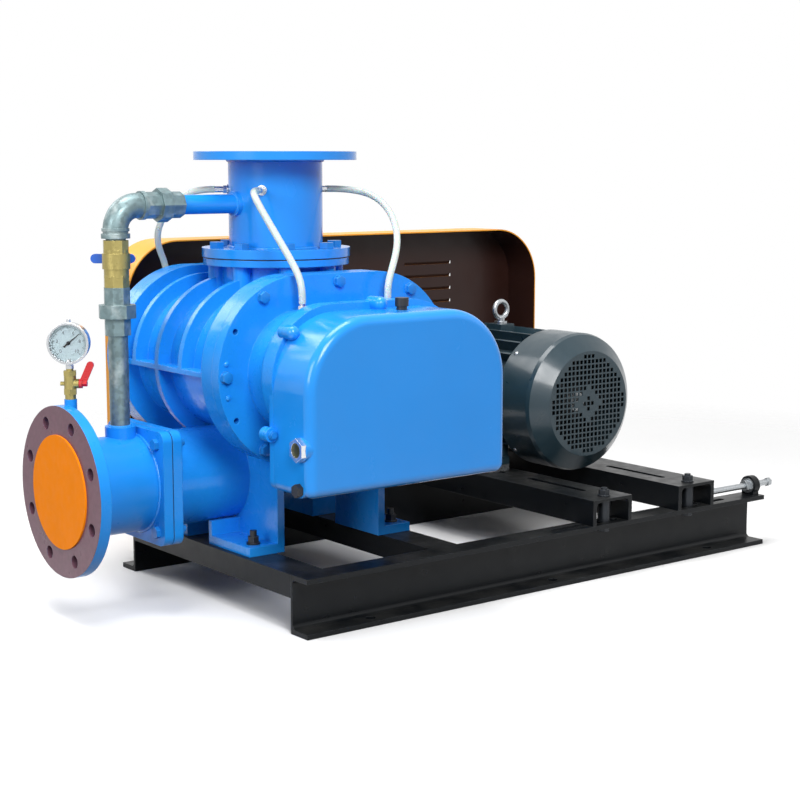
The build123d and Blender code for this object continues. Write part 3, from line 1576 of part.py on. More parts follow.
nodes = {
    "base_channel_rear": rear_channel,
    "base_channel_front": mirror(rear_channel, about=Plane.XZ),
    "cross_members": cross_members(),
    "tension_nuts": tension_nuts(),
    "blower_casing": blower_casing(),
    "gear_end_plate": gear_end_plate(),
    "drive_end_plate": drive_end_plate(),
    "drive_end_cover": drive_end_cover(),
    "gear_cover": gear_cover(),
    "sight_glass_ring": sight_glass_ring(),
    "sight_glass_lens": sight_glass_lens(),
    "oil_plugs": oil_plugs(),
    "plate_screws": plate_screws(),
    "cover_screws": cover_screws(),
    "foot_bolts": foot_bolts(),
    "inlet_spool": inlet_spool(),
    "port_gaskets": port_gaskets(),
    "inlet_bolts": inlet_bolts(),
    "discharge_spool": discharge_spool(),
    "discharge_bolts": discharge_bolts(),
    "discharge_cap": discharge_cap(),
    "bearing_outer_rings": bearing_outer_rings(),
    "shaft_seals": shaft_seals(),
    "bypass_unions": bypass_unions(),
    "bypass_elbow": bypass_elbow(),
    "bypass_valve_body": bypass_valve_body(),
    "bypass_riser": bypass_riser(),
    "gauge_cock": gauge_cock(),
    "gauge_case": gauge_case(),
    "gauge_window": gauge_window(),
    "hose_fittings": hose_fittings(),
    "hose_front_left": hose(routes[0], "front left"),
    "hose_front_right": hose(routes[1], "front right"),
    "hose_rear_left": hose(routes[2], "rear left"),
    "belt_guard": belt_guard(),
    "drive_belts": drive_belts(),
    "bypass_valve_handle": bypass_valve_handle(),
    "gauge_cock_lever": gauge_cock_lever(),
    "gauge_needle": gauge_needle(),
    "motor_rail_left": motor_rail(rail_x[0], motor_x - motor_foot_x / 2),
    "motor_rail_right": motor_rail(rail_x[1], motor_x + motor_foot_x / 2),
    "rail_clamps": rail_clamps(),
    "tension_rods": tension_rods(),
    "motor_frame": motor_frame(),
    "motor_end_shields": motor_end_shields(),
    "motor_fan_cover": motor_fan_cover(),
    "motor_terminal_box": motor_terminal_box(),
    "motor_mount_bolts": motor_mount_bolts(),
    "motor_eye_bolt": motor_eye_bolt(),
    "motor_stator": motor_stator(),
    "motor_rotor": motor_rotor(),
    "motor_fan": motor_fan(),
    "motor_pulley": pulley(motor_x, motor_z, motor_pulley_radius, motor_shaft_radius),
    "drive_rotor": rotor(right_axis, drive_shaft_end),
    "drive_gear": timing_gear(right_axis, 180 / gear_teeth) + lock_nut(right_axis),
    "blower_pulley": pulley(right_axis, shaft_height, pump_pulley_radius, shaft_radius),
    "drive_bearings": bearing_inner_set(right_axis),
    "driven_rotor": rotor(left_axis, drive_neck_end - 2),
    "driven_gear": timing_gear(left_axis, 0) + lock_nut(left_axis),
    "driven_bearings": bearing_inner_set(left_axis),
}

for name, shape in nodes.items():
    solids = shape if isinstance(shape, list) else [shape]
    export_step(Compound(children=solids) if len(solids) > 1 else solids[0], f"parts/{name}.step")
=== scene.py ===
import json
import math

import bmesh
import bpy
from mathutils import Matrix, Vector


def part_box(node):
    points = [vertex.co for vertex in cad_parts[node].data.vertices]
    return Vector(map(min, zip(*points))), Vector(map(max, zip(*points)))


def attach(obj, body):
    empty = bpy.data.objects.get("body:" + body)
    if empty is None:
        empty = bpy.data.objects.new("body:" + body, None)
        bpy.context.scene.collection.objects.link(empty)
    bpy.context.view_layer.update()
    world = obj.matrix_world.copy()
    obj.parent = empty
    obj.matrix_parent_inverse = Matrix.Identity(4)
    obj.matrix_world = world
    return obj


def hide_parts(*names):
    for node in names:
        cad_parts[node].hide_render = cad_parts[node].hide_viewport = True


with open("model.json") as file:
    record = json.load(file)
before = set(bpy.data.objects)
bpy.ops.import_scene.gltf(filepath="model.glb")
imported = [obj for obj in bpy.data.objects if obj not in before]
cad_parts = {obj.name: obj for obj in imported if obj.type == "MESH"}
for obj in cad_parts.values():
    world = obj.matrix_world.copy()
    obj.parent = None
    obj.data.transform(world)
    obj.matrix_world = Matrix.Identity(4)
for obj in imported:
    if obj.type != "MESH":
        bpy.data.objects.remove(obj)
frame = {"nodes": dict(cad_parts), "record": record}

bl_info = {
    "name": "Roots vacuum pump finish",
    "version": (1, 0, 0),
    "blender": (4, 5, 0),
    "location": "View3D > Sidebar > Pump",
    "description": "Hoses, dial, welds, fasteners and painted finishes for a belt-driven lobe vacuum pump",
    "category": "Object",
}

MM = 0.001
NODES = frame["nodes"]

# Heads of the side plates' screws, as modelled in the frame
PLATE_SCREW_PROUD = 9 * MM

# Discharge flange: its thickness, its bolt holes, the primer on its face, and how deep the bolt holes' walls
# are painted in the primer colour as painted shade
FLANGE_THICK = 20 * MM
FLANGE_HOLE_CIRCLE = 120 * MM
FLANGE_HOLE_REACH = 12.5 * MM
HOLE_SHADE_DEPTH = 19.5 * MM
PRIMER_LIMIT = 0.6 * MM
PRIMER_EDGE = 0.4 * MM

# Places of the pipe welds, measured from the ends of the pieces that they join
INLET_PLATE_THICK = 16 * MM
INLET_FLANGE_DEPTH = 15 * MM
NIPPLE_RADIUS = 17 * MM
NIPPLE_SETBACK = 6 * MM
NIPPLE_DROP = 24.35 * MM
SQUARE_FLANGE_THICK = 17 * MM
RISER_WELD_RADIUS = 17.5 * MM
FITTING_RIPPLES = 40
PIPE_RIPPLES = 96

# Frame members at their welds
MEMBER_WIDTH = 63 * MM
MEMBER_TOP_GAP = 6 * MM
MEMBER_FOOT_GAP = 4 * MM
SEAM_INSET = 0.5 * MM

# Motor's small screws
FAN_SCREW_SETBACK = 12 * MM
FAN_SCREW_SUNK = 0.3 * MM
LID_SCREW_INSET = 10 * MM
LID_SCREW_DROP = 96 * MM

# Gauge dial: the scale's angles in degrees, and its parts as shares of the dial's radius
DIAL_FLOOR = 5.05 * MM
DIAL_CARD = 0.2 * MM
DIAL_START = 225
DIAL_SWEEP = 270
DIAL_RING = 0.9
DIAL_TICKS = {True: (0.13, 0.03), False: (0.07, 0.016)}
DIAL_NUMBER_RING = 0.62
DIAL_NUMBER_HEIGHT = 0.26

# Lamps: place, power in watts and width, and the point that all of them face
LAMPS = {
    "key": ((-1.7, -3.5, 2.9), 165, 1.7),
    "left": ((-3.7, -0.8, 1.7), 60, 1.6),
    "fill": ((2.8, -2.4, 2.2), 12, 2.6),
    "top": ((-0.6, 0.0, 3.6), 105, 1.8),
    "rim": ((-1.4, 3.0, 2.6), 35, 1.6),
}
LAMP_AIM = Vector((-0.15, 0, 0.35))
SURROUND_LIGHT = 0.13

# Camera
CAMERA_LENS = 74.4
CAMERA_SENSOR = 36
CAMERA_REACH = 100
CAMERA_PLACE = (-2.0215, -2.4477, 0.7685)
CAMERA_TURN = (81.73, 0, -37.70)
PICTURE_SIZE = 800

# Floor: how far it lies under the object, and where it fades into the surround
FLOOR_GAP = 0.5 * MM
FLOOR_FADE = (0.9, 2.2)


# ---------------------------------------------------------------- settings

class PumpSizes(bpy.types.PropertyGroup):
    """Sizes in metres that the frame itself doesn't give."""
    hose_diameter: bpy.props.FloatProperty(
        name="Hose diameter", description="Outside diameter of the clear hoses",
        default=0.012, min=0.004, max=0.03, unit="LENGTH", subtype="DISTANCE")
    dial_radius: bpy.props.FloatProperty(
        name="Dial radius", description="Radius of the gauge's printed card",
        default=0.0306, min=0.005, max=0.1, unit="LENGTH", subtype="DISTANCE")
    dial_ticks: bpy.props.IntProperty(
        name="Dial divisions", description="Number of scale divisions on the gauge",
        default=50, min=10, max=100)
    weld_size: bpy.props.FloatProperty(
        name="Weld bead radius", description="Radius of the weld beads' section",
        default=0.0032, min=0.0005, max=0.01, unit="LENGTH", subtype="DISTANCE")
    plate_bolt_radius: bpy.props.FloatProperty(
        name="Side plate bolt circle", description="Radius of the side plates' bolt circles",
        default=0.148, min=0.05, max=0.3, unit="LENGTH", subtype="DISTANCE")
    screw_across: bpy.props.FloatProperty(
        name="Side plate screw", description="Size across the flats of the side plates' screws",
        default=0.018, min=0.005, max=0.04, unit="LENGTH", subtype="DISTANCE")
    pipe_radius: bpy.props.FloatProperty(
        name="Main pipe radius", description="Outside radius of the inlet and discharge pipes",
        default=0.084, min=0.02, max=0.2, unit="LENGTH", subtype="DISTANCE")
    floor_size: bpy.props.FloatProperty(
        name="Floor half width", description="Half the width of the pale floor",
        default=9.0, min=2.0, max=40.0, unit="LENGTH", subtype="DISTANCE")


class PumpColours(bpy.types.PropertyGroup):
    """Paint and metal colours as sRGB hex codes."""
    body: bpy.props.StringProperty(
        name="Body enamel", description="Blue enamel of the pump", default="1D8CE4")
    # The primer colour is also painted into the discharge flange's bolt holes as painted shade.
    primer: bpy.props.StringProperty(
        name="Flange primer", description="Bare primer on the discharge face", default="7A5464")
    guard_outside: bpy.props.StringProperty(
        name="Guard outside", description="Orange enamel of the belt guard", default="F0A030")
    # The guard's inside colour is painted shade: the dark brown that stands in for the shade inside the
    # guard.
    guard_inside_shade: bpy.props.StringProperty(
        name="Guard inside", description="Dark inside of the belt guard", default="38201A")
    frame: bpy.props.StringProperty(
        name="Base frame", description="Black enamel of the base", default="0C0F12")
    motor: bpy.props.StringProperty(
        name="Motor", description="Grey enamel of the motor", default="22363F")
    cap: bpy.props.StringProperty(
        name="Protective cap", description="Plastic cap on the discharge", default="F7890C")
    zinc: bpy.props.StringProperty(
        name="Zinc", description="Plated bolts and rods", default="A9ADB0")
    galvanised: bpy.props.StringProperty(
        name="Galvanised iron", description="Bypass pipe fittings", default="6E8285")
    brass: bpy.props.StringProperty(
        name="Brass", description="Valve and gauge cock", default="A1945C")
    lever: bpy.props.StringProperty(
        name="Cock lever", description="Lever of the gauge cock", default="C42026")
    handle: bpy.props.StringProperty(
        name="Valve handle", description="Handle of the bypass valve", default="1D5DC4")
    hose: bpy.props.StringProperty(
        name="Hose", description="Clear hoses", default="D8E2DC")
    dial: bpy.props.StringProperty(
        name="Dial", description="Printed card of the gauge", default="8FA0A6")


def linear(code):
    """An sRGB hex code as a linear colour with alpha."""
    parts = [int(code[i:i + 2], 16) / 255 for i in (0, 2, 4)]
    return tuple(c / 12.92 if c <= 0.04045 else ((c + 0.055) / 1.055) ** 2.4 for c in parts) + (1,)


def colours():
    """The colour settings."""
    return bpy.context.scene.pump_colours


def sizes():
    """The size settings."""
    return bpy.context.scene.pump_sizes


# ---------------------------------------------------------------- material nodes

def add(tree, kind, inputs=None, **settings):
    """Add one shader node, set its properties, and set or link its inputs by name or number."""
    node = tree.nodes.new(kind)
    for name, value in settings.items():
        setattr(node, name, value)
    for name, value in (inputs or {}).items():
        if isinstance(value, bpy.types.NodeSocket):
            tree.links.new(value, node.inputs[name])
        else:
            node.inputs[name].default_value = value
    return node


def new_material(name):
    """An empty node material with its output and the object's own coordinates."""
    material = bpy.data.materials.new(name)
    material.use_nodes = True
    tree = material.node_tree
    tree.nodes.clear()
    output = add(tree, "ShaderNodeOutputMaterial")
    place = add(tree, "ShaderNodeTexCoord").outputs["Object"]
    return material, tree, output, place


def noise(tree, place, feature_mm, detail=3.0, roughness=0.5):
    """Noise whose features are about a given size."""
    inputs = {"Vector": place, "Scale": 1 / (feature_mm * MM), "Detail": detail, "Roughness": roughness}
    return add(tree, "ShaderNodeTexNoise", inputs).outputs["Fac"]


def ramp(tree, value, low, high, out_low=0.0, out_high=1.0):
    """Map a span of values to another, clamped."""
    inputs = {"Value": value, "From Min": low, "From Max": high, "To Min": out_low, "To Max": out_high}
    return add(tree, "ShaderNodeMapRange", inputs).outputs["Result"]


def mix(tree, factor, first, second):
    """Mix two colours."""
    node = add(tree, "ShaderNodeMix", {"Factor": factor}, data_type="RGBA")
    for socket, value in ((node.inputs[6], first), (node.inputs[7], second)):
        if isinstance(value, bpy.types.NodeSocket):
            tree.links.new(value, socket)
        else:
            socket.default_value = value
    return node.outputs[2]


def calculate(tree, operation, first, second):
    """One sum of two values."""
    return add(tree, "ShaderNodeMath", {0: first, 1: second}, operation=operation).outputs[0]


def shade(colour, factor):
    """A colour made lighter or darker."""
    return tuple(min(1, c * factor) for c in colour[:3]) + (1,)


def outward_edges(tree, radius_mm):
    """1 on outward edges and 0 elsewhere, and the softened normal."""
    soft = add(tree, "ShaderNodeBevel", {"Radius": radius_mm * MM}, samples=6).outputs["Normal"]
    flat = add(tree, "ShaderNodeNewGeometry").outputs["Normal"]
    dot = add(tree, "ShaderNodeVectorMath", {0: soft, 1: flat}, operation="DOT_PRODUCT")
    return ramp(tree, dot.outputs["Value"], 0.995, 0.8), soft


def finish(name, colour, rough=0.35, metal=0.0, coat=0.0, mottle_mm=60, mottle=0.1, grain_mm=2.0,
           grain=0.02, edge_mm=0.0, wear_and_highlight=0.0, wear_and_highlight_colour=None, dust=0.0,
           specular=0.5, colour_mask=None):
    """The common finish: mottled colour, uneven roughness, fine relief, soft edges in a lighter edge colour
    that is partly rubbed paint and partly painted highlight, and dust.
    """
    material, tree, output, place = new_material(name)
    cloud = noise(tree, place, mottle_mm, 5)
    base = mix(tree, cloud, shade(colour, 1 - mottle), shade(colour, 1 + mottle))
    if colour_mask:
        base = colour_mask(tree, place, base)
    fine = noise(tree, place, grain_mm, 4)
    rough_value = ramp(tree, noise(tree, place, mottle_mm / 3, 4), 0.3, 0.7, rough * 0.8, rough * 1.25)
    bump_inputs = {"Height": fine, "Distance": grain * MM, "Strength": 1.0}
    if edge_mm:
        worn_and_lit_edges, soft = outward_edges(tree, edge_mm)
        bump_inputs["Normal"] = soft
        # Outward edges take a lighter edge colour in patches. Where that colour is a paler copy of the
        # paint, as on the blue paints and in the default lighter copy, it is a painted highlight; where it
        # is bare metal or grey under black paint, as on the frame and the black-oxide screws, it is rubbed
        # paint.
        patch = ramp(tree, noise(tree, place, 14, 5), 0.48, 0.6)
        worn_and_lit_edges = calculate(tree, "MULTIPLY", calculate(tree, "MULTIPLY", worn_and_lit_edges, patch), wear_and_highlight)
        base = mix(tree, worn_and_lit_edges, base, wear_and_highlight_colour or shade(colour, 1.7))
    if dust:
        up = add(tree, "ShaderNodeNewGeometry").outputs["Normal"]
        level = add(tree, "ShaderNodeSeparateXYZ", {0: up}).outputs["Z"]
        settled = ramp(tree, cloud, 0.35, 0.75, 0, dust)
        layer = calculate(tree, "MULTIPLY", ramp(tree, level, 0.5, 1.0), settled)
        base = mix(tree, layer, base, linear("B9B6AE"))
        rough_value = calculate(tree, "ADD", rough_value, calculate(tree, "MULTIPLY", layer, 0.5))
    bump = add(tree, "ShaderNodeBump", bump_inputs).outputs["Normal"]
    inputs = {"Base Color": base, "Roughness": rough_value, "Metallic": metal, "Coat Weight": coat,
              "Coat Roughness": 0.12, "Specular IOR Level": specular, "Normal": bump}
    shader = add(tree, "ShaderNodeBsdfPrincipled", inputs)
    tree.links.new(shader.outputs[0], output.inputs[0])
    return material


# ---------------------------------------------------------------- materials

def cast_enamel():
    """Gloss blue enamel over sand-cast iron: broad lumps, pinholes and a painted highlight of paler blue on
    its edges.
    """
    return finish("blue_enamel_on_cast_iron", linear(colours().body), rough=0.28, coat=0.3, mottle_mm=90,
                  mottle=0.1, grain_mm=5, grain=0.25, edge_mm=2.6, wear_and_highlight=0.3,
                  wear_and_highlight_colour=linear("6FB0EA"), dust=0.03, specular=0.15)


def sheet_enamel():
    """Gloss blue enamel over smooth steel and pressed covers, with light orange peel and a painted highlight
    of paler blue on its edges.
    """
    return finish("blue_enamel_on_smooth_steel", linear(colours().body), rough=0.22, coat=0.4, mottle_mm=140,
                  mottle=0.06, grain_mm=1.8, grain=0.03, edge_mm=1.8, wear_and_highlight=0.25,
                  wear_and_highlight_colour=linear("7DBBF0"), dust=0.0, specular=0.2)


def flange_enamel():
    """Blue enamel whose gasket face is left in purple-brown primer, with painted shade of the same primer
    colour on the bolt holes' walls and a painted highlight of paler blue on its edges.
    """
    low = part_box("discharge_spool")[0].x
    axis = pipe_centres()[1]

    def primer_face_and_hole_shade(tree, place, base):
        x = add(tree, "ShaderNodeSeparateXYZ", {0: place}).outputs["X"]
        face = ramp(tree, x, low + PRIMER_LIMIT, low + PRIMER_LIMIT - PRIMER_EDGE)
        away = add(tree, "ShaderNodeVectorMath", {0: place, 1: axis}, operation="SUBTRACT").outputs[0]
        ring = add(tree, "ShaderNodeVectorMath", {0: away, 1: (0, 1, 1)}, operation="MULTIPLY").outputs[0]
        reach = add(tree, "ShaderNodeVectorMath", {0: ring}, operation="LENGTH").outputs["Value"]
        # The bolt holes' walls get the primer colour too: painted shade inside the holes.
        holes = calculate(tree, "COMPARE", reach, FLANGE_HOLE_CIRCLE)
        holes.node.inputs[2].default_value = FLANGE_HOLE_REACH
        depth = calculate(tree, "LESS_THAN", x, low + HOLE_SHADE_DEPTH)
        face = calculate(tree, "MAXIMUM", face, calculate(tree, "MULTIPLY", holes, depth))
        brushed = mix(tree, noise(tree, place, 8, 5), linear("5E424C"), linear(colours().primer))
        return mix(tree, face, base, brushed)

    # The paler blue edge colour is a painted highlight.
    return finish("blue_enamel_with_primer_face", linear(colours().body), rough=0.32, coat=0.15,
                  mottle_mm=90, grain_mm=2, grain=0.06, edge_mm=1.8, wear_and_highlight=0.3,
                  wear_and_highlight_colour=linear("6FB0EA"), specular=0.15, colour_mask=primer_face_and_hole_shade)


def painted_screws():
    """Blue enamel brushed over hexagon screws, with a painted highlight of paler blue at the corners."""
    return finish("blue_enamel_on_screws", shade(linear(colours().body), 0.75), rough=0.34, coat=0.1,
                  mottle_mm=12, mottle=0.15, grain_mm=1.5, grain=0.06, edge_mm=0.9, wear_and_highlight=0.5,
                  wear_and_highlight_colour=linear("6FA0CC"), specular=0.35)


def guard_enamel():
    """Orange enamel outside, and painted shade inside a bent sheet guard: the faces turned inward are
    painted dark brown where the shade falls.
    """
    low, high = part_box("belt_guard")
    centre = (low + high) / 2

    def inside(tree, place, base):
        out = add(tree, "ShaderNodeVectorMath", {0: place, 1: centre}, operation="SUBTRACT").outputs[0]
        normal = add(tree, "ShaderNodeNewGeometry").outputs["Normal"]
        facing = add(tree, "ShaderNodeVectorMath", {0: out, 1: normal}, operation="DOT_PRODUCT")
        # Faces turned inward are painted dark brown: painted shade inside the guard.
        inner = ramp(tree, facing.outputs["Value"], 0.0005, -0.0005)
        streak = noise(tree, place, 120, 5)
        dark = mix(tree, streak, linear("241310"), linear(colours().guard_inside_shade))
        return mix(tree, inner, base, dark)

    return finish("orange_enamel_with_painted_shade_inside", linear(colours().guard_outside), rough=0.38, coat=0.05,
                  mottle_mm=150, mottle=0.07, grain_mm=1.6, grain=0.03, specular=0.25,
                  colour_mask=inside)


def frame_enamel():
    """Black enamel on rolled channel: mill texture, chipped corners and settled dust."""
    return finish("black_enamel_on_rolled_steel", linear(colours().frame), rough=0.34, coat=0.05,
                  mottle_mm=70, mottle=0.25, grain_mm=3, grain=0.1, edge_mm=1.6, wear_and_highlight=0.45,
                  wear_and_highlight_colour=linear("4A5056"), dust=0.05, specular=0.15)


def motor_enamel():
    """Dark grey-blue machine enamel on the motor's castings."""
    return finish("grey_enamel_on_motor_casting", linear(colours().motor), rough=0.34, coat=0.35,
                  mottle_mm=60, mottle=0.15, grain_mm=2.2, grain=0.12, edge_mm=1.2, wear_and_highlight=0.4,
                  wear_and_highlight_colour=linear("55606A"), dust=0.08, specular=0.35)


def galvanised():
    """Hot-dip galvanised iron: zinc spangle of about 6 mm and cloudy patches."""
    material, tree, output, place = new_material("galvanised_iron_spangle")
    cells = add(tree, "ShaderNodeTexVoronoi", {"Vector": place, "Scale": 1 / (6 * MM)})
    value = add(tree, "ShaderNodeSeparateColor", {0: cells.outputs["Color"]}).outputs[0]
    base = linear(colours().galvanised)
    tone = mix(tree, value, shade(base, 0.84), shade(base, 1.08))
    tone = mix(tree, ramp(tree, noise(tree, place, 30, 5), 0.5, 0.75), tone, linear("A6B2B2"))
    bump = add(tree, "ShaderNodeBump", {"Height": noise(tree, place, 2.5, 4), "Distance": 0.12 * MM,
                                        "Normal": outward_edges(tree, 1.0)[1]})
    rough = ramp(tree, value, 0, 1, 0.32, 0.55)
    shader = add(tree, "ShaderNodeBsdfPrincipled", {"Base Color": tone, "Metallic": 0.6,
                                                    "Roughness": rough, "Normal": bump.outputs[0]})
    tree.links.new(shader.outputs[0], output.inputs[0])
    return material


def clear_tube():
    """Soft milky-clear plastic tube."""
    material, tree, output, place = new_material("milky_clear_tube")
    haze = ramp(tree, noise(tree, place, 25, 3), 0.3, 0.7, 0.25, 0.4)
    shader = add(tree, "ShaderNodeBsdfPrincipled", {
        "Base Color": linear(colours().hose), "Roughness": haze, "IOR": 1.42,
        "Transmission Weight": 0.35, "Subsurface Weight": 0.4, "Subsurface Scale": 0.004})
    tree.links.new(shader.outputs[0], output.inputs[0])
    return material


def glass(name, colour, rough=0.03, body=0.0):
    """Glass, with as much solid colour behind it as body says."""
    material, tree, output, place = new_material(name)
    smear = ramp(tree, noise(tree, place, 12, 3), 0.35, 0.75, rough, rough + 0.05)
    shader = add(tree, "ShaderNodeBsdfPrincipled", {
        "Base Color": linear(colour), "Roughness": smear,
        "Transmission Weight": 1 - body, "IOR": 1.05 + 0.4 * body})
    tree.links.new(shader.outputs[0], output.inputs[0])
    return material


def material_table():
    """One finish for each material slot of the record."""
    c = colours()
    zinc = dict(metal=0.9, mottle=0.12, mottle_mm=14, grain_mm=0.9, grain=0.02, edge_mm=0.5)
    return {
        "blue_paint": cast_enamel(),
        "frame_paint": frame_enamel(),
        "guard_paint": guard_enamel(),
        "motor_paint": motor_enamel(),
        "handle_paint": finish("blue_handle_enamel", linear(c.handle), rough=0.3, coat=0.4, edge_mm=0.8),
        "lever_paint": finish("red_lever_enamel", linear(c.lever), rough=0.3, coat=0.4, edge_mm=0.6),
        "needle_paint": finish("black_needle_enamel", linear("0B0B0C"), rough=0.5),
        "blued_steel": finish("black_oxide_screws", linear("23272C"), rough=0.36, metal=0.5,
                              mottle_mm=8, mottle=0.2, grain_mm=0.8, edge_mm=0.7, wear_and_highlight=0.7,
                              wear_and_highlight_colour=linear("8D939A")),
        "zinc_steel": finish("zinc_plated_steel", linear(c.zinc), rough=0.3, **zinc),
        "bright_steel": finish("turned_steel", linear("C6C9CC"), rough=0.24, **zinc),
        "galvanized_iron": galvanised(),
        "brass_fittings": finish("machined_brass", linear(c.brass), rough=0.34, metal=0.85, mottle_mm=10,
                                 mottle=0.16, grain_mm=0.9, grain=0.03, edge_mm=0.6),
        "aluminium_ring": finish("turned_aluminium", linear("DCDFE2"), rough=0.22, metal=0.95, edge_mm=0.6),
        "sight_glass": glass("oil_level_glass", "4A4A1C", body=0.75),
        "gauge_glass": glass("gauge_window_glass", "FFFFFF"),
        "black_plastic": finish("black_moulded_plastic", linear("141518"), rough=0.45, grain_mm=0.8,
                                edge_mm=0.8, mottle=0.2),
        "orange_plastic": finish("orange_cap_plastic", linear(c.cap), rough=0.55, mottle_mm=40,
                                 mottle=0.06, grain_mm=1.2, grain=0.04, edge_mm=0.8, specular=0.1),
        "clear_hose": clear_tube(),
        "gasket_rubber": finish("gasket_sheet", linear("222426"), rough=0.75, grain_mm=0.6),
        "belt_rubber": finish("belt_fabric", linear("1A1A1C"), rough=0.8, grain_mm=0.5, grain=0.08),
        "stator_iron": finish("laminated_iron", linear("5A5D60"), rough=0.5, metal=0.7),
        "pulley_iron": finish("machined_cast_iron", linear("5B6167"), rough=0.38, metal=0.8, edge_mm=0.8),
        "rotor_iron": finish("ground_cast_iron", linear("8A8E92"), rough=0.34, metal=0.85, edge_mm=0.8),
    }


class PUMP_OT_materials(bpy.types.Operator):
    """Give every CAD node its finish"""
    bl_idname = "pump.materials"
    bl_label = "Materials"
    bl_options = {"REGISTER", "UNDO"}

    def execute(self, context):
        table = material_table()
        smooth = sheet_enamel()
        painted = painted_screws()
        special = {"gear_cover": smooth, "drive_end_cover": smooth, "inlet_spool": smooth,
                   "inlet_bolts": painted, "discharge_bolts": painted, "plate_screws": painted,
                   "cover_screws": painted,
                   "discharge_spool": flange_enamel()}
        for part in frame["record"]["subparts"]:
            node = NODES[part["node"]]
            material = special.get(part["node"], table[part["material_slot"]])
            node.data.materials.clear()
            node.data.materials.append(material)
        return {"FINISHED"}


# ---------------------------------------------------------------- mesh helpers

def facing(place, axis):
    """A matrix that puts local +Z along an axis at a place."""
    turn = Vector((0, 0, 1)).rotation_difference(Vector(axis).normalized()).to_matrix().to_4x4()
    return Matrix.Translation(Vector(place)) @ turn


def lathe(bm, profile, place, axis, steps=48, twist=None):
    """Spin a (radius, height) profile round an axis; twist may move each new vertex."""
    verts = [bm.verts.new((radius, 0, height)) for radius, height in profile]
    edges = [bm.edges.new(pair) for pair in zip(verts, verts[1:])]
    before = set(bm.verts) - set(verts)
    bmesh.ops.spin(bm, geom=verts + edges, cent=(0, 0, 0), axis=(0, 0, 1), angle=2 * math.pi,
                   steps=steps, use_merge=True)
    fresh = [v for v in bm.verts if v not in before]
    bmesh.ops.remove_doubles(bm, verts=fresh, dist=1e-7)
    fresh = [v for v in bm.verts if v not in before]
    if twist:
        for vert in fresh:
            twist(vert)
    bmesh.ops.transform(bm, matrix=facing(place, axis), verts=fresh)


def hex_screw(bm, place, axis, across, height):
    """A hexagon head with a chamfered crown, on a washer."""
    washer = across * 0.62
    thick = 2 * MM
    lathe(bm, [(0, 0), (washer, 0), (washer, thick * 0.8), (washer - thick * 0.2, thick), (0, thick)],
          place, axis, 32)
    corner = across / math.sqrt(3)
    matrix = facing(Vector(place) + Vector(axis) * thick, axis)
    head = bmesh.ops.create_cone(bm, cap_ends=True, segments=6, radius1=corner, radius2=corner,
                                 depth=height, matrix=matrix @ Matrix.Translation((0, 0, height / 2)))
    normal = Vector(axis).normalized()
    crown = [e for e in {e for v in head["verts"] for e in v.link_edges}
             if all((v.co - Vector(place)).dot(normal) > height for v in e.verts)]
    bmesh.ops.bevel(bm, geom=crown, offset=across * 0.06, segments=2, profile=0.5, affect="EDGES",
                    material=-1)


def weld_ring(bm, place, axis, ring, size, ripples):
    """A rippled weld bead round a pipe."""
    profile = [(ring + size * math.cos(a), size * math.sin(a))
               for a in [math.radians(45 * i) for i in range(9)]]

    def ripple(vert):
        turn = math.atan2(vert.co.y, vert.co.x)
        swell = 1 + 0.16 * math.sin(ripples * turn) + 0.05 * math.sin(7 * turn + 1)
        flat = Vector((math.cos(turn), math.sin(turn), 0)) * ring
        vert.co = flat + (vert.co - flat) * swell

    lathe(bm, profile, place, axis, 240, ripple)


def weld_seam(bm, start, end, size):
    """A rippled weld bead along a straight joint."""
    start, end = Vector(start), Vector(end)
    count = int((end - start).length / (size * 0.6))
    matrix = facing(start, end - start)
    rings = []
    for i in range(count + 1):
        swell = size * (1 + 0.14 * math.sin(i * 1.6)) * (0.4 if i in (0, count) else 1)
        height = (end - start).length * i / count
        rings.append(bmesh.ops.create_circle(bm, segments=10, radius=swell, cap_ends=i in (0, count),
                                             matrix=matrix @ Matrix.Translation((0, 0, height)))["verts"])
    for low, high in zip(rings, rings[1:]):
        for k in range(10):
            bm.faces.new((low[k], low[(k + 1) % 10], high[(k + 1) % 10], high[k]))


def piece(name, bm, material, body="skid", angle=35):
    """Make a mesh object from a bmesh, shade it, and let it ride on a body."""
    bmesh.ops.recalc_face_normals(bm, faces=bm.faces)
    mesh = bpy.data.meshes.new(name)
    bm.to_mesh(mesh)
    bm.free()
    mesh.shade_smooth()
    mesh.set_sharp_from_angle(angle=math.radians(angle))
    mesh.materials.append(material)
    made = bpy.data.objects.new(name, mesh)
    bpy.context.scene.collection.objects.link(made)
    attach(made, body)
    return made


def look(node):
    """The material that a CAD node wears."""
    return NODES[node].data.materials[0]


def joint(name):
    """A joint of the record by its name."""
    return next(j for j in frame["record"]["behaviour"]["joints"] if j["name"] == name)


def pipe_centres():
    """The axes of the inlet and discharge pipes, read from their flanges."""
    mount = {m["name"]: Vector(m["pos_m"]) for m in frame["record"]["mounts"]}
    return mount["inlet_flange_bolts"], mount["discharge_flange_bolts"]


# ---------------------------------------------------------------- hoses

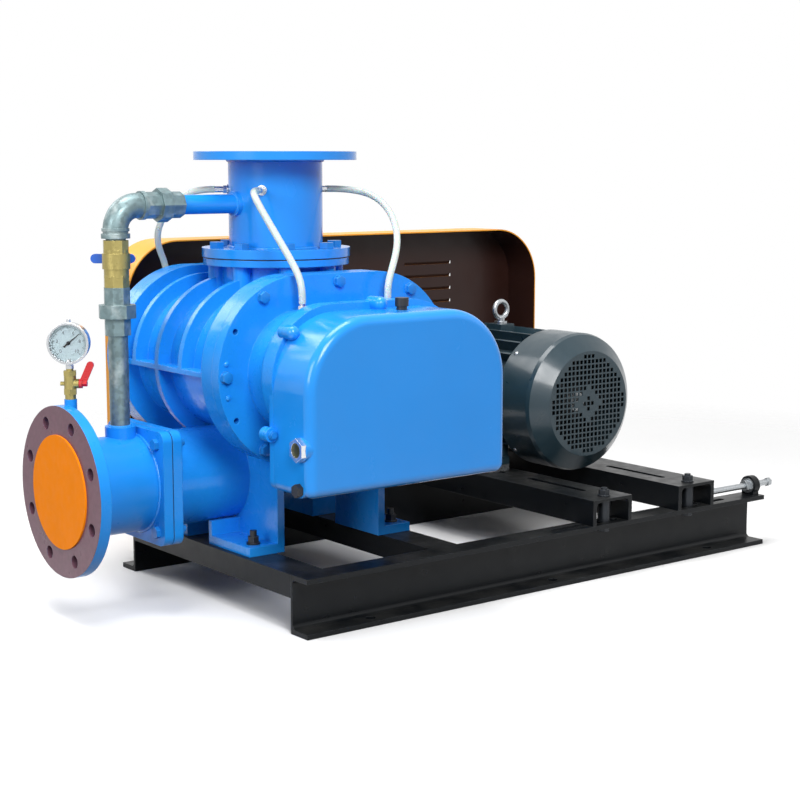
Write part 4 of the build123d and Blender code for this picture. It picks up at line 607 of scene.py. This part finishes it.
HOSE_ROUTES = {
    "front_left": [(-0.4599, -0.0268, 0.716), (-0.4781, -0.0424, 0.716), (-0.491, -0.062, 0.710),
                   (-0.494, -0.081, 0.694), (-0.488, -0.101, 0.666), (-0.482, -0.126, 0.634),
                   (-0.478, -0.152, 0.604), (-0.475, -0.172, 0.578), (-0.475, -0.182, 0.554),
                   (-0.475, -0.182, 0.532)],
    "front_right": [(-0.268, 0.044, 0.716), (-0.244, 0.044, 0.716), (-0.218, 0.032, 0.714),
                    (-0.200, 0.006, 0.708), (-0.194, -0.028, 0.694), (-0.199, -0.064, 0.672),
                    (-0.213, -0.098, 0.646), (-0.236, -0.130, 0.620), (-0.264, -0.158, 0.596),
                    (-0.286, -0.176, 0.575), (-0.297, -0.182, 0.554), (-0.297, -0.182, 0.532)],
    "rear_left": [(-0.4599, 0.1148, 0.716), (-0.4781, 0.1304, 0.716), (-0.499, 0.150, 0.708),
                  (-0.513, 0.176, 0.689), (-0.520, 0.203, 0.661), (-0.517, 0.226, 0.632),
                  (-0.504, 0.242, 0.606), (-0.489, 0.249, 0.580), (-0.484, 0.249, 0.554),
                  (-0.484, 0.249, 0.532)],
}


class PUMP_OT_hoses(bpy.types.Operator):
    """Build the clear hoses from the inlet pipe to the bearing necks"""
    bl_idname = "pump.hoses"
    bl_label = "Hoses"
    bl_options = {"REGISTER", "UNDO"}

    def execute(self, context):
        diameter = sizes().hose_diameter
        for name, route in HOSE_ROUTES.items():
            curve = bpy.data.curves.new(f"hose_{name}_tube", "CURVE")
            curve.dimensions = "3D"
            curve.bevel_depth = diameter / 2
            curve.bevel_resolution = 6
            curve.resolution_u = 12
            curve.use_fill_caps = True
            spline = curve.splines.new("NURBS")
            spline.points.add(len(route) - 1)
            for point, place in zip(spline.points, route):
                point.co = (*place, 1)
            spline.order_u = 3
            spline.use_endpoint_u = True
            curve.materials.append(look(f"hose_{name}"))
            tube = bpy.data.objects.new(f"hose_{name}_tube", curve)
            context.scene.collection.objects.link(tube)
            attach(tube, "skid")
            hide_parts(f"hose_{name}")
        return {"FINISHED"}


# ---------------------------------------------------------------- gauge dial

def dial_matrix():
    """The dial's place on the case floor, with local +Z out towards the glass."""
    turn = joint("gauge_needle_turn")
    normal = Vector(turn["axis"]).normalized()
    up = Vector((0, 0, 1))
    across = up.cross(normal)
    rows = Matrix((across, up, normal)).transposed().to_4x4()
    return Matrix.Translation(Vector(turn["pos_m"]) + normal * DIAL_FLOOR) @ rows


def scale_turn(share):
    """The angle of a place on the scale, from 0 at its start to 1 at its end."""
    return math.radians(DIAL_START - DIAL_SWEEP * share)


class PUMP_OT_gauge_dial(bpy.types.Operator):
    """Print the gauge's dial: a pale plate, a scale ring and plain numbers"""
    bl_idname = "pump.gauge_dial"
    bl_label = "Gauge dial"
    bl_options = {"REGISTER", "UNDO"}

    def execute(self, context):
        radius = sizes().dial_radius
        place = dial_matrix()
        out = place.to_3x3().col[2]
        plate = bmesh.new()
        lathe(plate, [(0, 0), (radius, 0), (radius, DIAL_CARD), (0, DIAL_CARD)], place.translation, out, 64)
        card = finish("printed_dial_card", linear(colours().dial), rough=0.5, mottle=0.03, grain_mm=0.4)
        piece("gauge_dial_plate", plate, card)
        ink = finish("black_dial_ink", linear("101214"), rough=0.5)
        marks = bmesh.new()
        count = sizes().dial_ticks
        for index in range(count + 1):
            turn = scale_turn(index / count)
            length, width = (radius * share for share in DIAL_TICKS[index % 5 == 0])
            middle = radius * DIAL_RING - length / 2
            flat = Matrix.Translation((middle * math.cos(turn), middle * math.sin(turn), 0.25 * MM))
            flat = flat @ Matrix.Rotation(turn, 4, "Z")
            flat = flat @ Matrix.Diagonal((length, width, 0.1 * MM, 1))
            bmesh.ops.create_cube(marks, size=1, matrix=place @ flat)
        for label in range(0, 11, 2):
            turn = scale_turn(label / 10)
            self.number(context, marks, str(label), place, radius * DIAL_NUMBER_RING, turn,
                        radius * DIAL_NUMBER_HEIGHT)
        piece("gauge_dial_marks", marks, ink)
        return {"FINISHED"}

    def number(self, context, bm, words, place, reach, turn, height):
        """Add one printed number to the marks."""
        curve = bpy.data.curves.new("dial_number", "FONT")
        curve.body = words
        curve.size = height
        curve.align_x = "CENTER"
        curve.align_y = "CENTER"
        text = bpy.data.objects.new("dial_number", curve)
        context.scene.collection.objects.link(text)
        context.view_layer.update()
        mesh = bpy.data.meshes.new_from_object(text)
        move = Matrix.Translation((reach * math.cos(turn), reach * math.sin(turn), 0.26 * MM))
        mesh.transform(place @ move)
        bm.from_mesh(mesh)
        bpy.data.objects.remove(text)
        bpy.data.curves.remove(curve)
        bpy.data.meshes.remove(mesh)


# ---------------------------------------------------------------- fasteners and welds

def plate_bolt_points():
    """Centres of the side plates' screws, in (x, z), round both rotor axes."""
    radius = sizes().plate_bolt_radius
    left = joint("driven_rotor_spin")["pos_m"]
    right = joint("drive_rotor_spin")["pos_m"]
    points = []
    for turn in (120, 180, 240):
        angle = math.radians(turn)
        step = (radius * math.cos(angle), radius * math.sin(angle))
        points.append((left[0] + step[0], left[2] + step[1]))
        points.append((right[0] - step[0], right[2] + step[1]))
    middle = (left[0] + right[0]) / 2
    return points + [(middle, left[2] + radius), (middle, left[2] - radius)]


class PUMP_OT_plate_screws(bpy.types.Operator):
    """Replace the side plates' screws with chamfered heads on washers"""
    bl_idname = "pump.plate_screws"
    bl_label = "Side plate screws"
    bl_options = {"REGISTER", "UNDO"}

    def execute(self, context):
        across = sizes().screw_across
        low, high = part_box("plate_screws")
        height = 7 * MM
        front = low.y + PLATE_SCREW_PROUD
        back = high.y - PLATE_SCREW_PROUD
        bm = bmesh.new()
        for x, z in plate_bolt_points():
            hex_screw(bm, (x, front, z), (0, -1, 0), across, height)
            hex_screw(bm, (x, back, z), (0, 1, 0), across, height)
        made = piece("side_plate_screws", bm, look("plate_screws"), angle=25)
        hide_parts("plate_screws")
        return {"FINISHED"}


class PUMP_OT_welds(bpy.types.Operator):
    """Lay weld beads where pipes meet flanges and where the frame's members meet"""
    bl_idname = "pump.welds"
    bl_label = "Welds"
    bl_options = {"REGISTER", "UNDO"}

    def execute(self, context):
        size = sizes().weld_size
        pipe = sizes().pipe_radius
        inlet, discharge = pipe_centres()
        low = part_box("inlet_spool")[0].z + INLET_PLATE_THICK
        bm = bmesh.new()
        weld_ring(bm, (inlet.x, inlet.y, low), (0, 0, 1), pipe, size, PIPE_RIPPLES)
        top = inlet.z - INLET_FLANGE_DEPTH
        weld_ring(bm, (inlet.x, inlet.y, top), (0, 0, 1), pipe, size, PIPE_RIPPLES)
        nipple_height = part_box("bypass_elbow")[1].z - NIPPLE_DROP
        nipple = (inlet.x - pipe - NIPPLE_SETBACK, inlet.y, nipple_height)
        weld_ring(bm, nipple, (1, 0, 0), NIPPLE_RADIUS, size * 0.6, FITTING_RIPPLES)
        front = discharge + Vector((FLANGE_THICK, 0, 0))
        weld_ring(bm, front, (1, 0, 0), pipe, size, PIPE_RIPPLES)
        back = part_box("discharge_spool")[1].x - SQUARE_FLANGE_THICK
        weld_ring(bm, (back, discharge.y, discharge.z), (1, 0, 0), pipe, size, PIPE_RIPPLES)
        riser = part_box("bypass_riser")
        centre = (riser[0] + riser[1]) / 2
        foot = (centre.x, centre.y, riser[0].z)
        weld_ring(bm, foot, (0, 0, 1), RISER_WELD_RADIUS, size * 0.7, FITTING_RIPPLES)
        piece("pipe_welds", bm, look("inlet_spool"), angle=60)
        bm = bmesh.new()
        low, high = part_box("cross_members")
        top = high.z - MEMBER_TOP_GAP
        bottom = low.z + MEMBER_FOOT_GAP
        for x in (low.x + MEMBER_WIDTH, high.x - MEMBER_WIDTH, high.x):
            for y in (low.y + SEAM_INSET, high.y - SEAM_INSET):
                weld_seam(bm, (x, y, top), (x, y, bottom), size * 0.8)
        piece("frame_welds", bm, look("cross_members"), angle=60)
        return {"FINISHED"}


class PUMP_OT_casting_details(bpy.types.Operator):
    """Add the two small domes seen on the casing's side plate"""
    bl_idname = "pump.casting_details"
    bl_label = "Casting details"
    bl_options = {"REGISTER", "UNDO"}

    def execute(self, context):
        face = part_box("plate_screws")[0].y + PLATE_SCREW_PROUD
        left = joint("driven_rotor_spin")["pos_m"]
        bm = bmesh.new()
        dome = [(0, 3.5 * MM), (2.5 * MM, 3.1 * MM), (4.4 * MM, 1.8 * MM), (5 * MM, 0), (0, 0)]
        for turn in (171.5, 193.5):
            angle = math.radians(turn)
            reach = sizes().plate_bolt_radius
            place = (left[0] + reach * math.cos(angle), face, left[2] + reach * math.sin(angle))
            lathe(bm, dome, place, (0, -1, 0), 24)
        piece("casing_dowel_domes", bm, look("blower_casing"))
        return {"FINISHED"}


class PUMP_OT_motor_details(bpy.types.Operator):
    """Add the fan cover's screws and the terminal box lid's screws"""
    bl_idname = "pump.motor_details"
    bl_label = "Motor details"
    bl_options = {"REGISTER", "UNDO"}

    def execute(self, context):
        low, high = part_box("motor_fan_cover")
        axis = joint("motor_rotor_spin")["pos_m"]
        radius = (high.x - low.x) / 2
        button = [(0, 2.6 * MM), (3 * MM, 2.2 * MM), (4.6 * MM, 0.9 * MM), (4.8 * MM, 0), (0, 0)]
        bm = bmesh.new()
        for turn in (45, 135, 225, 315):
            out = Vector((math.cos(math.radians(turn)), 0, math.sin(math.radians(turn))))
            centre = Vector((axis[0], high.y - FAN_SCREW_SETBACK, axis[2]))
            lathe(bm, button, centre + out * (radius - FAN_SCREW_SUNK), out, 20)
        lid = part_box("motor_terminal_box")
        for y in (lid[0].y + LID_SCREW_INSET, lid[1].y - LID_SCREW_INSET):
            for z in (lid[1].z - LID_SCREW_INSET, lid[1].z - LID_SCREW_DROP):
                lathe(bm, button, (lid[0].x, y, z), (-1, 0, 0), 20)
        piece("motor_cover_screws", bm, look("motor_mount_bolts"), "motor_carriage")
        return {"FINISHED"}


# ---------------------------------------------------------------- stage

class PUMP_OT_stage(bpy.types.Operator):
    """Set the floor, the lamps, the world and the camera"""
    bl_idname = "pump.stage"
    bl_label = "Stage"
    bl_options = {"REGISTER", "UNDO"}

    def execute(self, context):
        scene = context.scene
        self.floor()
        self.world(scene)
        for name, (place, power, width) in LAMPS.items():
            self.lamp(name, place, power, width)
        camera = bpy.data.cameras.new("camera")
        camera.lens = CAMERA_LENS
        camera.sensor_width = CAMERA_SENSOR
        camera.clip_end = CAMERA_REACH
        holder = bpy.data.objects.new("camera", camera)
        holder.location = CAMERA_PLACE
        holder.rotation_euler = [math.radians(turn) for turn in CAMERA_TURN]
        scene.collection.objects.link(holder)
        scene.camera = holder
        scene.render.resolution_x = PICTURE_SIZE
        scene.render.resolution_y = PICTURE_SIZE
        scene.view_settings.view_transform = "Standard"
        scene.render.engine = "CYCLES"
        return {"FINISHED"}

    def floor(self):
        """A pale floor that fades to the background away from the object."""
        half = sizes().floor_size
        bm = bmesh.new()
        bmesh.ops.create_grid(bm, x_segments=8, y_segments=8, size=half,
                              matrix=Matrix.Translation((0, 0, -FLOOR_GAP)))
        mesh = bpy.data.meshes.new("floor")
        bm.to_mesh(mesh)
        bm.free()
        material, tree, output, place = new_material("pale_floor")
        pale = mix(tree, noise(tree, place, 300, 3), linear("F6F6F6"), linear("FAFAFA"))
        bounce = add(tree, "ShaderNodeLightPath").outputs["Is Diffuse Ray"]
        pale = mix(tree, bounce, pale, linear("606060"))
        paint = add(tree, "ShaderNodeBsdfPrincipled", {"Base Color": pale, "Roughness": 0.7})
        away = add(tree, "ShaderNodeVectorMath", {0: place}, operation="LENGTH").outputs["Value"]
        fade = ramp(tree, away, *FLOOR_FADE)
        clear = add(tree, "ShaderNodeBsdfTransparent")
        blend = add(tree, "ShaderNodeMixShader", {0: fade, 1: paint.outputs[0], 2: clear.outputs[0]})
        tree.links.new(blend.outputs[0], output.inputs[0])
        mesh.materials.append(material)
        made = bpy.data.objects.new("floor", mesh)
        bpy.context.scene.collection.objects.link(made)

    def world(self, scene):
        """A soft grey surround that the camera, metal and glass see as white."""
        world = bpy.data.worlds.new("studio")
        scene.world = world
        world.use_nodes = True
        tree = world.node_tree
        tree.nodes.clear()
        path = add(tree, "ShaderNodeLightPath").outputs
        seen = calculate(tree, "MAXIMUM", path["Is Camera Ray"], path["Is Transmission Ray"])
        seen = calculate(tree, "MAXIMUM", seen, path["Is Glossy Ray"])
        soft = add(tree, "ShaderNodeBackground", {"Color": (1, 1, 1, 1), "Strength": SURROUND_LIGHT})
        white = add(tree, "ShaderNodeBackground", {"Color": (1, 1, 1, 1), "Strength": 1.0})
        blend = add(tree, "ShaderNodeMixShader", {0: seen, 1: soft.outputs[0], 2: white.outputs[0]})
        output = add(tree, "ShaderNodeOutputWorld")
        tree.links.new(blend.outputs[0], output.inputs[0])

    def lamp(self, name, place, power, width):
        """A square area lamp aimed at the middle of the object."""
        light = bpy.data.lights.new(name, "AREA")
        light.energy = power
        light.size = width
        holder = bpy.data.objects.new(name, light)
        holder.location = place
        aim = LAMP_AIM - Vector(place)
        holder.rotation_euler = aim.to_track_quat("-Z", "Y").to_euler()
        bpy.context.scene.collection.objects.link(holder)


# ---------------------------------------------------------------- add-on

class PUMP_PT_panel(bpy.types.Panel):
    """The pump's tools, sizes and colours"""
    bl_idname = "PUMP_PT_panel"
    bl_label = "Vacuum pump"
    bl_space_type = "VIEW_3D"
    bl_region_type = "UI"
    bl_category = "Pump"

    def draw(self, context):
        layout = self.layout
        for step in OPERATORS:
            layout.operator(step.bl_idname)
        for group in (context.scene.pump_sizes, context.scene.pump_colours):
            for name in group.__annotations__:
                layout.prop(group, name)


OPERATORS = (PUMP_OT_materials, PUMP_OT_hoses, PUMP_OT_gauge_dial, PUMP_OT_plate_screws, PUMP_OT_welds,
             PUMP_OT_casting_details, PUMP_OT_motor_details, PUMP_OT_stage)
CLASSES = (PumpSizes, PumpColours) + OPERATORS + (PUMP_PT_panel,)


def register():
    for cls in CLASSES:
        bpy.utils.register_class(cls)
    bpy.types.Scene.pump_sizes = bpy.props.PointerProperty(type=PumpSizes)
    bpy.types.Scene.pump_colours = bpy.props.PointerProperty(type=PumpColours)


def unregister():
    del bpy.types.Scene.pump_colours
    del bpy.types.Scene.pump_sizes
    for cls in reversed(CLASSES):
        bpy.utils.unregister_class(cls)


def main():
    register()
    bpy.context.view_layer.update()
    bpy.ops.pump.materials()
    bpy.ops.pump.hoses()
    bpy.ops.pump.gauge_dial()
    bpy.ops.pump.plate_screws()
    bpy.ops.pump.welds()
    bpy.ops.pump.casting_details()
    bpy.ops.pump.motor_details()
    bpy.ops.pump.stage()


if __name__ == "__main__":
    main()
